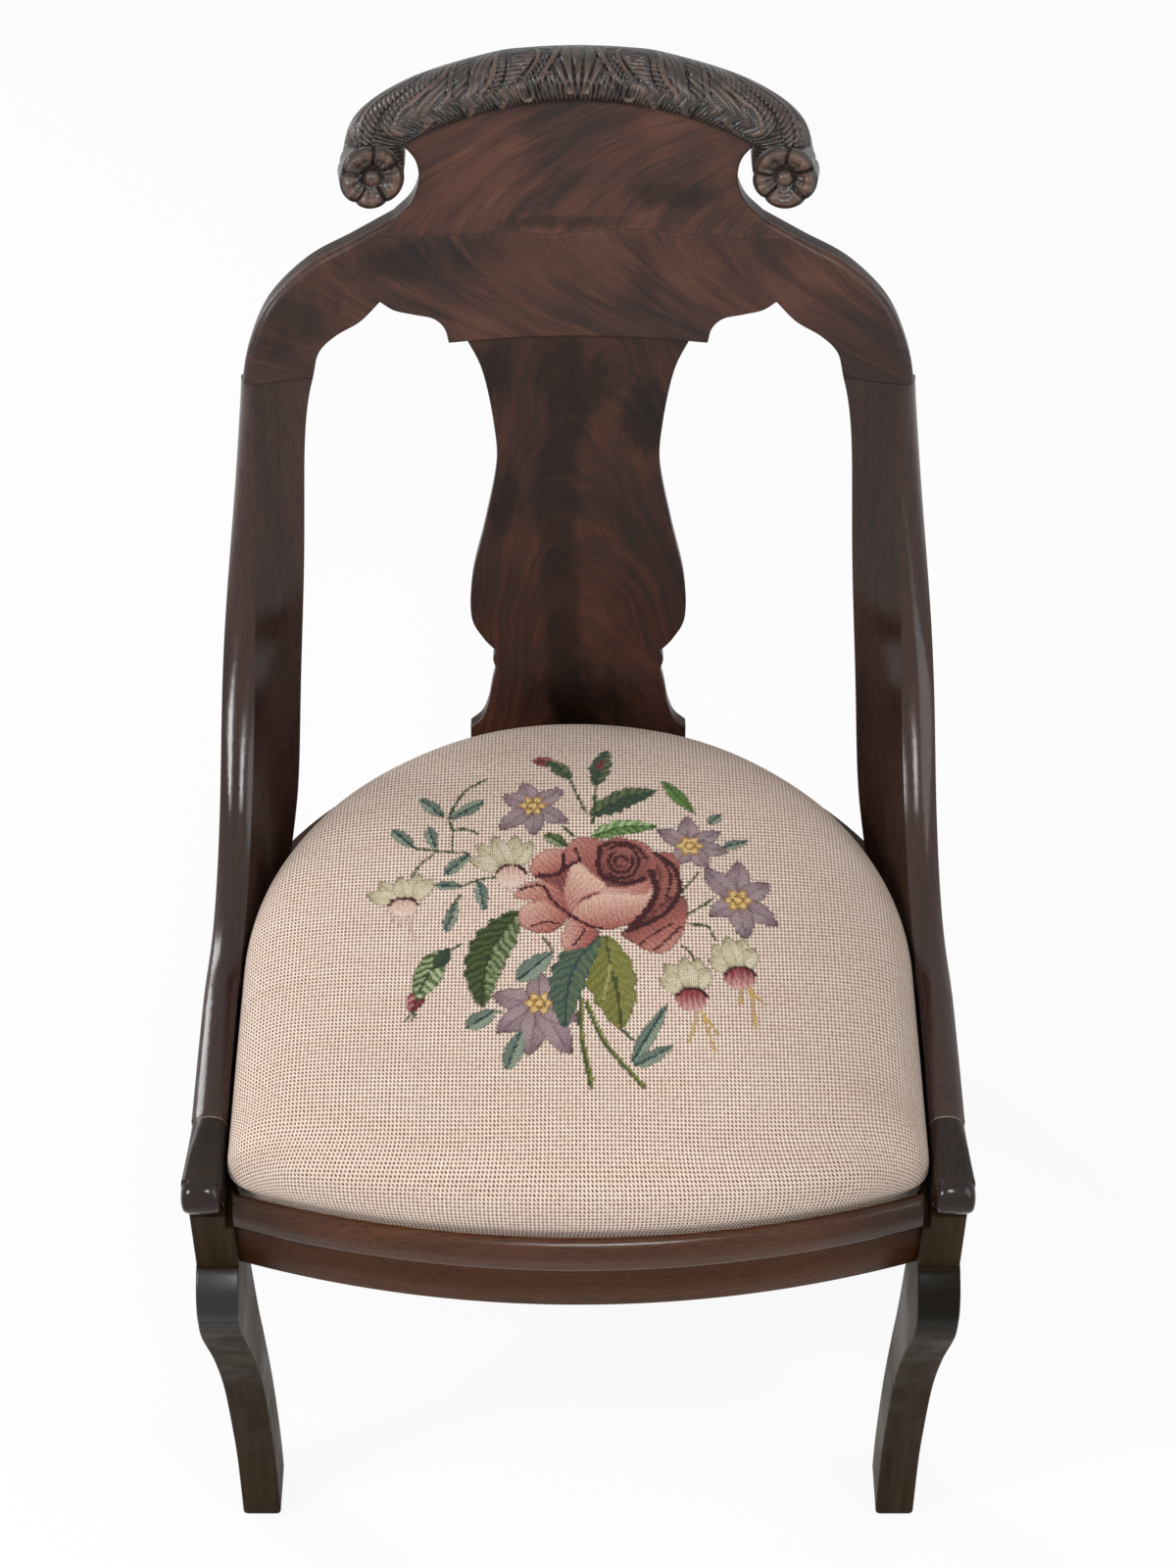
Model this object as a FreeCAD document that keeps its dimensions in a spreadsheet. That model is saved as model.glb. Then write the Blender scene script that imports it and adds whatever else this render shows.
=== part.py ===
import FreeCAD, Part
import math
import os
import re
import Sketcher

# Driving dimensions in millimetres and degrees. Distances back are from the front of the arm terminals.
SIZES = {
    # Whole chair
    "origin_setback": 248.1,
    "outer_half_width": 223.5,
    "glue_gap": 0.15,
    # Seat rails
    "rail_bottom": 345,
    "rail_height": 50,
    "rail_thickness": 32,
    "ledge_drop": 12,
    "rim_width": 21,
    "well_centre": 168,
    "well_corner": 29,
    "rail_start_step": 57,
    # Bowed front rail
    "bow_radius": 654,
    "bow_reach": 19,
    "front_rail_thickness": 22,
    "front_lip": 6,
    "bead_height": 18,
    "bead_reach": 4.5,
    "bead_rise": 10,
    # Legs
    "leg_thickness": 25,
    "front_block_front": 8,
    "block_depth": 38,
    "knee_ledge": 11,
    "knee_reach": 21,
    "knee_drop": 22,
    "rear_block_step": 116,
    "rear_leg_sweep": 156,
    "foot_round": 3,
    # Arms and stiles
    "arm_height": 30,
    "arm_thickness": 20.5,
    "arm_crown": 4,
    "terminal_length": 55,
    "terminal_flare": 4.5,
    "bend_start": 150,
    "arm_handle": 120,
    "arris_handle": 157,
    "arris_lean": 24,
    "arris_draw": 4,
    "edge_handle": 195,
    "edge_dip": 55,
    "edge_rise_handle": 168,
    "edge_lean": 28,
    "edge_draw": 37,
    "edge_belly_draw": 24,
    "edge_round": 4,
    "stile_bulge": 4,
    # Back frame: x across, rise up the slope, from the crest face at the top of the rails
    "back_rake": 16.5,
    "back_inset": 21.5,
    "bend_radius": 600,
    "crest_thickness": 18,
    "veneer": 0.9,
    "joint_rise": 277,
    "crest_draw": 20.3,
    "joint_width": 43.9,
    "arris_step": 9.7,
    "foot_step": 15.5,
    "crest_foot_half": 78,
    "cusp_draw": 84.9,
    "cusp_step": 44.5,
    "shoulder_draw": 42.4,
    "shoulder_step": 70.6,
    "neck_draw": 9.6,
    "neck_step": 119,
    "arris_inset": 8,
    "seam_step": 85,
    "cap_step": 166,
    "cap_foot_half": 103.4,
    "cap_foot_drop": 24,
    "cap_height": 27.7,
    "cap_reach": 9,
    "cap_round": 6,
    "shoulder_round": 7,
    "neck_round": 2,
    "terminal_round": 4,
    "rosette_out": 17.1,
    "rosette_drop": 38.5,
    "rosette_radius": 19.5,
    "rosette_height": 8,
    # Splat
    "splat_setback": 4,
    "splat_thickness": 11,
    "splat_top_half": 68.7,
    "splat_waist_half": 50.4,
    "splat_belly_half": 68,
    "splat_notch_half": 52.5,
    "splat_base_half": 69.3,
    "tenon_half": 45,
    "tenon_thickness": 5.5,
    "tenon_depth": 9,
    # Slip seat
    "seat_clearance": 1,
    "hem_gap": 0.3,
    "lay_gap": 0.1,
    "cover_thickness": 1.2,
    "bar_thickness": 16,
    "bar_width": 45,
    "front_bar_margin": 9,
    "webbing_width": 45,
    "webbing_thickness": 1,
    "crown_rise": 58,
    "lift": 90,
    # Fastenings
    "dowel_diameter": 9,
    "dowel_length": 36,
    "pin_diameter": 6,
    "pin_length": 24,
    "screw_diameter": 4,
    "screw_length": 38,
    "tack_head": 5,
    "tack_shank": 1.4,
    "tack_length": 8,
    "tack_gap": 0.05,
    "block_leg": 52,
    "block_height": 32,
}

# Sizes that follow from the ones above
DERIVED = {
    "rail_top": "rail_bottom + rail_height",
    "arm_top": "rail_top + arm_height",
    "ledge": "rail_top - ledge_drop",
    "well_half_width": "outer_half_width - rim_width",
    "rear_rail_start": "well_centre + rail_start_step",
    "front_block_back": "front_block_front + block_depth",
    "rear_block_front": "well_centre + rear_block_step",
    "rear_block_back": "rear_block_front + block_depth",
    "arm_inner": "outer_half_width - arm_thickness",
    "arris_waist": "arm_inner - arris_draw",
    "edge_waist": "arm_inner - edge_draw",
    "edge_belly": "arm_inner - edge_belly_draw",
    "back_face": "well_centre + outer_half_width - back_inset",
    "joint_outer": "outer_half_width - crest_draw",
    "joint_arris": "joint_outer - arris_step",
    "joint_inner": "joint_outer - joint_width",
    "crest_foot": "joint_rise + foot_step",
    "cusp_half": "joint_outer - cusp_draw",
    "cusp_rise": "joint_rise + cusp_step",
    "shoulder_half": "joint_outer - shoulder_draw",
    "shoulder_rise": "joint_rise + shoulder_step",
    "neck_half": "cap_foot_half - neck_draw",
    "neck_rise": "joint_rise + neck_step",
    "veneer_seam": "joint_rise + seam_step",
    "cap_foot_rise": "joint_rise + cap_step",
    "cap_top_rise": "cap_foot_rise + cap_height",
    "rosette_half": "cap_foot_half + rosette_out",
    "rosette_rise": "cap_foot_rise - rosette_drop",
    "seat_foot": "ledge + hem_gap",
    "bar_foot": "seat_foot + cover_thickness + lay_gap",
    "bar_top": "bar_foot + bar_thickness",
    "web_top": "bar_top + 2 * webbing_thickness",
    "pad_foot": "web_top + webbing_thickness",
}

V = FreeCAD.Vector
doc = FreeCAD.newDocument("federal_side_chair")
sheet = doc.addObject("Spreadsheet::Sheet", "Sizes")
for row, (alias, amount) in enumerate(SIZES.items(), start=1):
    sheet.set("A%d" % row, alias)
    sheet.set("B%d" % row, str(amount))
    sheet.setAlias("B%d" % row, alias)
doc.recompute()
nodes = {}


def spelled(text):
    """An expression with each derived size written out in sheet aliases."""
    return re.sub(r"[a-z_]+", lambda word: "(%s)" % spelled(DERIVED[word[0]]) if word[0] in DERIVED else word[0], text)


def size(text):
    """The number that an expression of sizes comes to."""
    return float(text) if not isinstance(text, str) else float(sheet.evalExpression(spelled(text)))


def bound(text):
    """The same expression as another object has to write it."""
    return re.sub(r"[a-z_]+", lambda word: "Sizes." + word[0] if word[0] in SIZES else word[0], spelled(text))


def bind(item, **expressions):
    for name, text in expressions.items():
        item.setExpression(name, bound(text))


SETBACK = size("origin_setback")
BACK = FreeCAD.Placement(
    V(0, size("back_face") - SETBACK, size("rail_top")), FreeCAD.Rotation(V(1, 0, 0), -size("back_rake"))
)


def chair_point(x, y, z):
    """A point given by its distance back from the terminals, in the part's frame."""
    return V(x, y - SETBACK, z)


def back_point(x, rise, depth=0.0):
    """A point of the back: depth is measured behind the hollow crest face, square to it."""
    radius = size("bend_radius") + depth
    return BACK.multVec(V(x, math.sqrt(radius * radius - x * x) - size("bend_radius"), rise))


# Sketches


def new_body(label):
    body = doc.addObject("PartDesign::Body", label)
    body.Label = label
    bind(body, **{"Placement.Base.y": "-origin_setback"})
    return body


def sketch_on(body, role, height="0"):
    plane = [feature for feature in body.Origin.OriginFeatures if feature.Role == role][0]
    sketch = body.newObject("Sketcher::SketchObject", body.Name + "_sketch")
    sketch.AttachmentSupport = [(plane, "")]
    sketch.MapMode = "FlatFace"
    sketch.setExpression("AttachmentOffset.Base.z", bound(height))
    return sketch


def line(end):
    return "line", [], end


def arc(middle, end):
    return "arc", [middle], end


def curve(middles, end):
    return "curve", middles, end


def edge_through(kind, points):
    if kind == "line":
        return Part.LineSegment(points[0], points[-1])
    if kind == "arc":
        return Part.Arc(*points)
    spline = Part.BSplineCurve()
    spline.interpolate(points)
    return spline


def trace(sketch, start, *steps):
    """Closed outline: each corner written with sheet aliases is held to them by constraints."""
    corners = [start] + [step[2] for step in steps]
    flat = [V(size(x), size(y), 0) for x, y in corners]
    flat[-1] = flat[0]
    first = len(sketch.Geometry)
    ends = []
    for index, (kind, middles, _) in enumerate(steps):
        between = [V(size(x), size(y), 0) for x, y in middles]
        edge = sketch.addGeometry(edge_through(kind, [flat[index]] + between + [flat[index + 1]]), False)
        gaps = [(sketch.getPoint(edge, end) - flat[index]).Length for end in (1, 2)]
        ends.append((1, 2) if gaps[0] < gaps[1] else (2, 1))
    for index in range(len(steps)):
        before = (index - 1) % len(steps)
        start_end = (first + index, ends[index][0])
        sketch.addConstraint(Sketcher.Constraint("Coincident", first + before, ends[before][1], *start_end))
        for axis, text, place in zip("XY", corners[index], flat[index]):
            if isinstance(text, str) and bound(text) != text:
                rule = Sketcher.Constraint("Distance" + axis, -1, 1, *start_end, place)
                sketch.setExpression("Constraints[%d]" % sketch.addConstraint(rule), bound(text))
    return sketch


def box_outline(sketch, left, low, right, high):
    trace(sketch, (left, low), line((right, low)), line((right, high)), line((left, high)), line((left, low)))


def pad(body, sketch, length, midplane=False):
    feature = body.newObject("PartDesign::Pad", body.Name + "_pad")
    feature.Profile = sketch
    feature.Midplane = midplane
    bind(feature, Length=length)
    return feature


def pocket(body, sketch, depth):
    """A cut down from the sketch, against its normal."""
    feature = body.newObject("PartDesign::Pocket", body.Name + "_pocket")
    feature.Profile = sketch
    bind(feature, Length=depth)
    return feature


# Primitives and booleans


def cylinder(radius, height, base, direction):
    item = doc.addObject("Part::Cylinder", "Cylinder")
    bind(item, Radius=radius, Height=height)
    item.Placement = FreeCAD.Placement(base, FreeCAD.Rotation(V(0, 0, 1), direction))
    return item


def block(length, width, height, frame, corner):
    item = doc.addObject("Part::Box", "Block")
    bind(item, Length=length, Width=width, Height=height)
    item.Placement = frame.multiply(FreeCAD.Placement(corner, FreeCAD.Rotation()))
    return item


def boolean(kind, base, tool):
    item = doc.addObject("Part::" + kind, kind)
    item.Base = base
    item.Tool = tool
    return item


def group(items):
    item = doc.addObject("Part::Compound", "Group")
    item.Links = items
    return item


def mirrored(item):
    copy = doc.addObject("Part::Mirroring", item.Name + "_left")
    copy.Source = item
    copy.Normal = V(1, 0, 0)
    return copy


def keep(label, item):
    item.Label = label
    nodes[label] = item
    return item


def keep_pair(label, right):
    keep(label + "_right", right)
    keep(label + "_left", mirrored(right))


def rounded(item, radius_of):
    """Round the edges for which radius_of gives a pair of end radii."""
    doc.recompute()
    picked = []
    for number, edge in enumerate(item.Shape.Edges, start=1):
        radii = radius_of(edge)
        if radii:
            picked.append((number,) + radii)
    fillet = doc.addObject("Part::Fillet", item.Name + "_rounded")
    fillet.Base = item
    fillet.Edges = picked
    return fillet


def back_spot(vertex):
    """Across, rise and depth behind the crest face of a vertex on the back."""
    spot = BACK.inverse().multVec(vertex.Point)
    radius = size("bend_radius")
    return spot.x, spot.z, math.hypot(spot.x, spot.y + radius) - radius


class Pins:
    """Straight pins across joints, and the holes that take them."""

    def __init__(self, diameter, length):
        self.diameter = diameter
        self.length = length
        self.pins = []

    def add(self, centre, direction, both_sides=True):
        """Put a pin at a joint and return its holes; both_sides adds the left one to the pins."""
        direction = V(direction).normalize()
        half = direction * (size(self.length) / 2)
        pin = cylinder(self.diameter + " / 2", self.length, centre - half, direction)
        self.pins.append(pin)
        end_room = 4 * size("glue_gap")
        hole = cylinder(
            self.diameter + " / 2 + glue_gap",
            self.length + " + 8 * glue_gap",
            centre - half - direction * end_room,
            direction,
        )
        if not both_sides:
            return [hole]
        self.pins.append(mirrored(pin))
        return [hole, mirrored(hole)]


def drilled(item, holes):
    return boolean("Cut", item, group(holes)) if holes else item


# Plan of the slip seat and of the well that it drops into


def seat_plan(half_width, corner, front_radius):
    """Corner points of the D-shaped plan: bowed front, round corners, straight sides and a half-round back."""
    centre = size("bow_radius - bow_reach")
    across = half_width - corner
    corner_back = centre - math.sqrt((front_radius - corner) ** 2 - across**2)
    reach = front_radius / (front_radius - corner)
    front_end = (across * reach, centre + (corner_back - centre) * reach)
    turn = math.atan2(corner_back - centre, across) / 2
    corner_mid = (across + corner * math.cos(turn), corner_back + corner * math.sin(turn))
    middle = size("well_centre")
    diagonal = half_width * math.sqrt(0.5)
    return {
        "front": (0.0, centre - front_radius),
        "front_end": front_end,
        "corner_mid": corner_mid,
        "side_front": (half_width, corner_back),
        "side_back": (half_width, middle),
        "diagonal": (diagonal, middle + diagonal),
        "rear": (0.0, middle + half_width),
    }


WELL = seat_plan(size("well_half_width"), size("well_corner"), size("bow_radius - front_lip"))
SEAT = seat_plan(
    size("well_half_width - seat_clearance"),
    size("well_corner - seat_clearance"),
    size("bow_radius - front_lip - seat_clearance"),
)
PLAN_CENTRE = (SEAT["front"][1] + SEAT["rear"][1]) / 2
FRONT_BAR_BACK = SEAT["side_front"][1] + size("front_bar_margin")


def left(point):
    return -point[0], point[1]


def plan_steps(plan):
    """The D as a start point and steps for trace."""
    return plan["side_front"], (
        line(plan["side_back"]),
        arc(plan["diagonal"], plan["rear"]),
        arc(left(plan["diagonal"]), left(plan["side_back"])),
        line(left(plan["side_front"])),
        arc(left(plan["corner_mid"]), left(plan["front_end"])),
        arc(plan["front"], plan["front_end"]),
        arc(plan["corner_mid"], plan["side_front"]),
    )


def shrunk(scale):
    """The seat's plan drawn in towards its centre."""
    return {name: (x * scale, PLAN_CENTRE + (y - PLAN_CENTRE) * scale) for name, (x, y) in SEAT.items()}


def cut_well(body):
    start, steps = plan_steps(WELL)
    sketch = trace(sketch_on(body, "XY_Plane", "rail_top"), start, *steps)
    pocket(body, sketch, "ledge_drop")


# Seat rails


def front_rail(holes):
    body = new_body("front_rail_body")
    bind(body, **{"Placement.Base.y": "bow_radius - bow_reach - origin_setback"})
    body.Placement.Rotation = FreeCAD.Rotation(V(0, 0, 1), -90)
    bead_top = "rail_top + bead_rise"
    bead_foot = bead_top + " - bead_height"
    bead_mid = ("bow_radius + bead_reach", bead_top + " - bead_height * 0.55")
    sketch = sketch_on(body, "XZ_Plane")
    trace(
        sketch,
        ("bow_radius - front_rail_thickness", "rail_bottom"),
        line(("bow_radius", "rail_bottom")),
        line(("bow_radius", bead_foot)),
        arc(bead_mid, ("bow_radius - front_lip / 2", bead_top)),
        line(("bow_radius - front_lip", bead_top)),
        line(("bow_radius - front_lip", "ledge")),
        line(("bow_radius - front_rail_thickness", "ledge")),
        line(("bow_radius - front_rail_thickness", "rail_bottom")),
    )
    turned = body.newObject("PartDesign::Revolution", "front_rail_bow")
    turned.Profile = sketch
    turned.ReferenceAxis = (sketch, ["V_Axis"])
    turned.Midplane = True
    turned.Angle = 2 * math.degrees(math.asin(size("outer_half_width / (bow_radius - front_rail_thickness)")))
    ends = sketch_on(body, "XY_Plane", bead_top + " + bead_rise")
    for low, high in (
        ("outer_half_width - leg_thickness", "outer_half_width * 1.4"),
        ("-outer_half_width * 1.4", "leg_thickness - outer_half_width"),
    ):
        box_outline(ends, "bow_radius / 2", low, "bow_radius * 1.2", high)
    pocket(body, ends, "rail_height * 2 + bead_rise")
    keep("front_seat_rail", drilled(body, holes))


def side_rail(holes):
    body = new_body("side_rail_body")
    sketch = sketch_on(body, "XY_Plane", "rail_bottom")
    inner = "outer_half_width - rail_thickness"
    box_outline(sketch, inner, "front_block_back", "outer_half_width", "rear_block_front")
    pad(body, sketch, "rail_height")
    cut_well(body)
    keep_pair("side_rail", drilled(body, holes))


def rear_rail(holes, mortise):
    body = new_body("rear_rail_body")
    sketch = sketch_on(body, "XY_Plane", "rail_bottom")
    inner = "(outer_half_width - rail_thickness)"
    outer_end = "well_centre + sqrt(outer_half_width^2 - %s^2)" % inner
    inner_end = "sqrt(%s^2 - (rear_rail_start - well_centre)^2)" % inner
    trace(
        sketch,
        (inner, outer_end),
        arc(("0", "well_centre + outer_half_width"), ("-" + inner, outer_end)),
        line(("-" + inner, "rear_rail_start")),
        line(("-" + inner_end, "rear_rail_start")),
        arc(("0", "well_centre + " + inner), (inner_end, "rear_rail_start")),
        line((inner, "rear_rail_start")),
        line((inner, outer_end)),
    )
    pad(body, sketch, "rail_height")
    cut_well(body)
    keep("rear_seat_rail", drilled(body, holes + [mortise]))


# Legs: each curve is a list of set backs from the leg's block and shares of the height under the rails

FRONT_LEG_FACE = ((-16, 0.85), (12, 0.658), (31, 0.484), (40, 0.3), (42.5, 0.17))
FRONT_LEG_TOE = 38
FRONT_LEG_BACK = ((40, 0.13), (35, 0.339), (24, 0.525), (15, 0.652), (7, 0.8145))
FRONT_LEG_HEEL = 37
REAR_LEG_BEND = ((0.03, 0.9), (0.2, 0.64), (0.59, 0.3))
REAR_LEG_FLARE = 4


def leg_curve(base, points):
    return [("%s + %s" % (base, back), "rail_bottom * %s" % share) for back, share in points]


def front_leg(holes):
    body = new_body("front_leg_body")
    sketch = sketch_on(body, "YZ_Plane", "outer_half_width - leg_thickness")
    knee = ("front_block_front - knee_reach", "rail_bottom - knee_drop")
    knee_mid = ("front_block_front - knee_reach * 0.86", "rail_bottom - knee_drop * 0.3")
    trace(
        sketch,
        ("front_block_front", "rail_top"),
        line(("front_block_front", "rail_bottom")),
        line(("front_block_front - knee_ledge", "rail_bottom")),
        arc(knee_mid, knee),
        curve(leg_curve("front_block_front", FRONT_LEG_FACE), ("front_block_front + %s" % FRONT_LEG_TOE, "0")),
        line(("front_block_back + %s" % FRONT_LEG_HEEL, "0")),
        curve(leg_curve("front_block_back", FRONT_LEG_BACK), ("front_block_back", "rail_bottom")),
        line(("front_block_back", "rail_top")),
        line(("front_block_front", "rail_top")),
    )
    pad(body, sketch, "leg_thickness")
    cut_well(body)
    keep_pair("front_leg", drilled(rounded(body, foot_edge), holes))


def rear_leg(holes):
    body = new_body("rear_leg_body")
    sketch = sketch_on(body, "YZ_Plane", "outer_half_width - leg_thickness")
    face = [("%s * rear_leg_sweep" % back, share) for back, share in REAR_LEG_BEND]
    back = [("%s * (rear_leg_sweep + %s)" % (part, REAR_LEG_FLARE), share) for part, share in REAR_LEG_BEND]
    trace(
        sketch,
        ("rear_block_front", "rail_top"),
        line(("rear_block_front", "rail_bottom")),
        curve(leg_curve("rear_block_front", face), ("rear_block_front + rear_leg_sweep", "0")),
        line(("rear_block_back + rear_leg_sweep - %s" % REAR_LEG_FLARE, "0")),
        curve(leg_curve("rear_block_back", back[::-1]), ("rear_block_back", "rail_bottom")),
        line(("rear_block_back", "rail_top")),
        line(("rear_block_front", "rail_top")),
    )
    pad(body, sketch, "leg_thickness")
    keep_pair("rear_leg", drilled(rounded(body, foot_edge), holes))


def foot_edge(edge):
    """The edges that stand on the floor."""
    if max(vertex.Point.z for vertex in edge.Vertexes) > 0.1:
        return None
    return size("foot_round"), size("foot_round")


# Arms and stiles


def bezier(points, share):
    rest = 1 - share
    weights = (rest**3, 3 * rest * rest * share, 3 * rest * share * share, share**3)
    return sum((point * weight for point, weight in zip(points, weights)), V())


def lean_back(end, handle, lean):
    """The handle point below the top end of a side curve."""
    angle = math.radians(size(lean))
    return V(end) - V(0, math.sin(angle), math.cos(angle)) * size(handle)


def stile_paths():
    """Side curves of the arris along the inner face and of the edge that faces the splat."""
    shift = V(0, SETBACK, 0)
    arris_top = back_point(size("joint_arris"), size("joint_rise")) + shift
    arris_start = V(size("arm_inner"), size("bend_start"), size("arm_top"))
    arris_next = arris_start + V(size("arris_waist - arm_inner"), size("arm_handle"), 0)
    arris_near = lean_back(arris_top, "arris_handle", "arris_lean")
    arris_near.x = size("arris_waist")
    edge_top = back_point(size("joint_inner"), size("joint_rise")) + shift
    edge_start = V(size("arm_inner"), size("bend_start"), size("rail_top - arm_crown"))
    edge_next = edge_start + V(size("edge_waist - arm_inner"), size("edge_handle"), -size("edge_dip"))
    edge_near = lean_back(edge_top, "edge_rise_handle", "edge_lean")
    edge_near.x = size("edge_belly")
    return (arris_start, arris_next, arris_near, arris_top), (edge_start, edge_next, edge_near, edge_top)


ARM_STATIONS = (1.0, 0.7, 0.4, 0.15)
STILE_STATIONS = (0.0, 0.12, 0.24, 0.36, 0.5, 0.65, 0.82, 1.0)
STEP = 0.01


def stile_section(body, arris, edge, along, share):
    """One section of the stile: flat inner face, square inner edge, flat back and a rounded outer edge."""
    across = (edge - arris).normalize()
    normal = (along - across * along.dot(across)).normalize() * -1
    outward = normal.cross(across)
    sketch = body.newObject("Sketcher::SketchObject", "stile_section")
    plane = [feature for feature in body.Origin.OriginFeatures if feature.Role == "XY_Plane"][0]
    sketch.AttachmentSupport = [(plane, "")]
    sketch.MapMode = "FlatFace"
    turn = FreeCAD.Rotation(across, outward, normal, "ZXY")
    sketch.AttachmentOffset = FreeCAD.Placement(arris, turn)
    width = (edge - arris).Length
    thickness = "arm_thickness + (crest_thickness - arm_thickness) * %s" % share
    bulge = 6.75 * share * share * (1 - share)
    turned = min(1.0, 2 * share)
    shoulder = "arm_crown / 2 - (edge_round + arm_crown / 2) * %s - stile_bulge * %.4f" % (turned, bulge)
    side = "-arm_crown - %s - stile_bulge * %.4f" % (share, bulge / 2)
    trace(
        sketch,
        ("0", "0"),
        line((width, "0")),
        line((width, thickness)),
        line((shoulder, thickness)),
        arc((side, "(%s) * 0.45" % thickness), ("0", "0")),
    )
    return sketch


def stile(holes):
    body = new_body("stile_body")
    arris_path, edge_path = stile_paths()
    sections = []
    for share in ARM_STATIONS:
        ahead = V(0, size("terminal_length - bend_start") * share, 0)
        sections.append(stile_section(body, arris_path[0] + ahead, edge_path[0] + ahead, V(0, 1, 0), 0))
    for share in STILE_STATIONS:
        before = max(0.0, share - STEP)
        after = min(1.0, share + STEP)
        along = sum((bezier(path, after) - bezier(path, before) for path in (arris_path, edge_path)), V())
        if share == 1.0:
            along = BACK.Rotation.multVec(V(0, 0, 1))
        sections.append(stile_section(body, bezier(arris_path, share), bezier(edge_path, share), along, share))
    loft = body.newObject("PartDesign::AdditiveLoft", "stile_loft")
    loft.Profile = sections[0]
    loft.Sections = sections[1:]
    foot = sketch_on(body, "XY_Plane", "rail_top")
    box_outline(foot, "0", "-terminal_length", "outer_half_width * 1.3", "back_face * 1.2")
    pocket(body, foot, "rail_height * 3")
    room = sketch_on(body, "XY_Plane", "arm_top + lift + crown_rise")
    well = "well_half_width"
    trace(
        room,
        (well, "well_centre"),
        arc(("0", "well_centre + well_half_width"), ("-" + well, "well_centre")),
        line((well, "well_centre")),
    )
    pocket(body, room, "arm_height + lift + crown_rise + rail_height")
    keep_pair("stile", drilled(body, holes))


def arm_terminal(holes):
    body = new_body("arm_terminal_body")
    sketch = sketch_on(body, "YZ_Plane", "arm_inner")
    trace(
        sketch,
        ("terminal_length", "rail_top"),
        line(("terminal_length", "arm_top")),
        line(("arm_height / 2", "arm_top")),
        arc(("0", "rail_top + arm_height / 2"), ("arm_height / 2", "rail_top")),
        line(("terminal_length", "rail_top")),
    )
    pad(body, sketch, "outer_half_width + terminal_flare - arm_inner")
    flare = sketch_on(body, "XY_Plane", "arm_top")
    trace(
        flare,
        ("outer_half_width + terminal_flare", "0"),
        line(("outer_half_width + terminal_flare * 2", "0")),
        line(("outer_half_width + terminal_flare * 2", "terminal_length")),
        line(("outer_half_width", "terminal_length")),
        arc(
            ("outer_half_width + terminal_flare * 0.3", "terminal_length / 2"),
            ("outer_half_width + terminal_flare", "0"),
        ),
    )
    pocket(body, flare, "arm_height")
    keep_pair("arm_terminal", drilled(rounded(body, terminal_edge), holes))


def terminal_edge(edge):
    """Edges along the top and round the nose, but none at the butt joint or under the arm."""
    points = [vertex.Point for vertex in edge.Vertexes]
    behind = size("terminal_length") - SETBACK - 0.1
    if all(point.y > behind for point in points):
        return None
    if all(point.z < size("rail_top") + 0.1 for point in points):
        return None
    if abs(points[0].x - points[-1].x) > size("terminal_length") / 4:
        return None
    return size("terminal_round"), size("terminal_round")


# Back: boards with a hollow curve across, standing on the raked frame


def ring(front, back):
    """The hollow-curved slab between two depths behind the crest face."""
    height = "cap_top_rise * 2"
    base = BACK.multVec(V(0, -size("bend_radius"), -size("cap_top_rise / 2")))
    up = BACK.Rotation.multVec(V(0, 0, 1))
    outside = cylinder("bend_radius + " + back, height, base, up)
    inside = cylinder("bend_radius + " + front, height, base, up)
    return boolean("Cut", outside, inside)


def bent_board(name, start, steps, front, back):
    body = doc.addObject("PartDesign::Body", name + "_outline")
    body.Placement = BACK
    sketch = trace(sketch_on(body, "XZ_Plane"), start, *steps)
    pad(body, sketch, "bend_radius / 3", midplane=True)
    return boolean("Common", body, ring(front, back))


def negative(text):
    return "-(%s)" % text


def flipped(point):
    """The same corner on the left."""
    x, rise = point
    return (negative(x) if isinstance(x, str) else -x), rise


def both_halves(start, half):
    """A symmetric outline from its right half, which runs from the centre top down to the centre foot."""
    points = [start] + [step[2] for step in half]
    back_steps = []
    for index in range(len(half) - 1, -1, -1):
        kind, middles, _ = half[index]
        back_steps.append((kind, [flipped(middle) for middle in middles[::-1]], flipped(points[index])))
    return start, tuple(half) + tuple(back_steps)


CAP_FOOT_END = ("cap_foot_half", "cap_foot_rise - cap_foot_drop")
NECK_CURVE = (
    ("neck_half + 1.7", "neck_rise + 12.5"),
    ("neck_half", "neck_rise"),
    ("neck_half + 5", "neck_rise - 13"),
)
SHOULDER_CURVE = (
    ("neck_half + (shoulder_half - neck_half) * 0.239", "shoulder_rise + 25"),
    ("neck_half + (shoulder_half - neck_half) * 0.597", "shoulder_rise + 13"),
)
LOWER_ARCH = (("joint_inner - 4", "joint_rise + 15.5"), ("joint_inner - 14", "joint_rise + 25"))
OGEE = (
    ("crest_foot_half + (cusp_half - crest_foot_half) * 0.8", "cusp_rise - 6"),
    ("crest_foot_half + (cusp_half - crest_foot_half) * 0.504", "cusp_rise - 9.7"),
    ("crest_foot_half + (cusp_half - crest_foot_half) * 0.223", "crest_foot + 16"),
    ("crest_foot_half + (cusp_half - crest_foot_half) * 0.062", "crest_foot + 9.5"),
)


def crest_outer(inset):
    """The outer outline from the cap down over the neck and shoulder to the stile joint."""
    drawn_in = "arris_inset * %s" % inset
    neck = [(x + " - 0.3 * " + drawn_in, rise) for x, rise in NECK_CURVE]
    shoulder = [(x, rise + " - 0.6 * " + drawn_in) for x, rise in SHOULDER_CURVE]
    low = [
        ("shoulder_half - 0.7 * " + drawn_in, "shoulder_rise - 0.7 * " + drawn_in),
        ("joint_outer - 19 - " + drawn_in, "joint_rise + 49 - 0.5 * " + drawn_in),
        ("joint_outer - 6 - " + drawn_in, "joint_rise + 22"),
    ]
    return curve(neck + shoulder + low, ("joint_outer - " + drawn_in, "joint_rise"))


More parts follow.
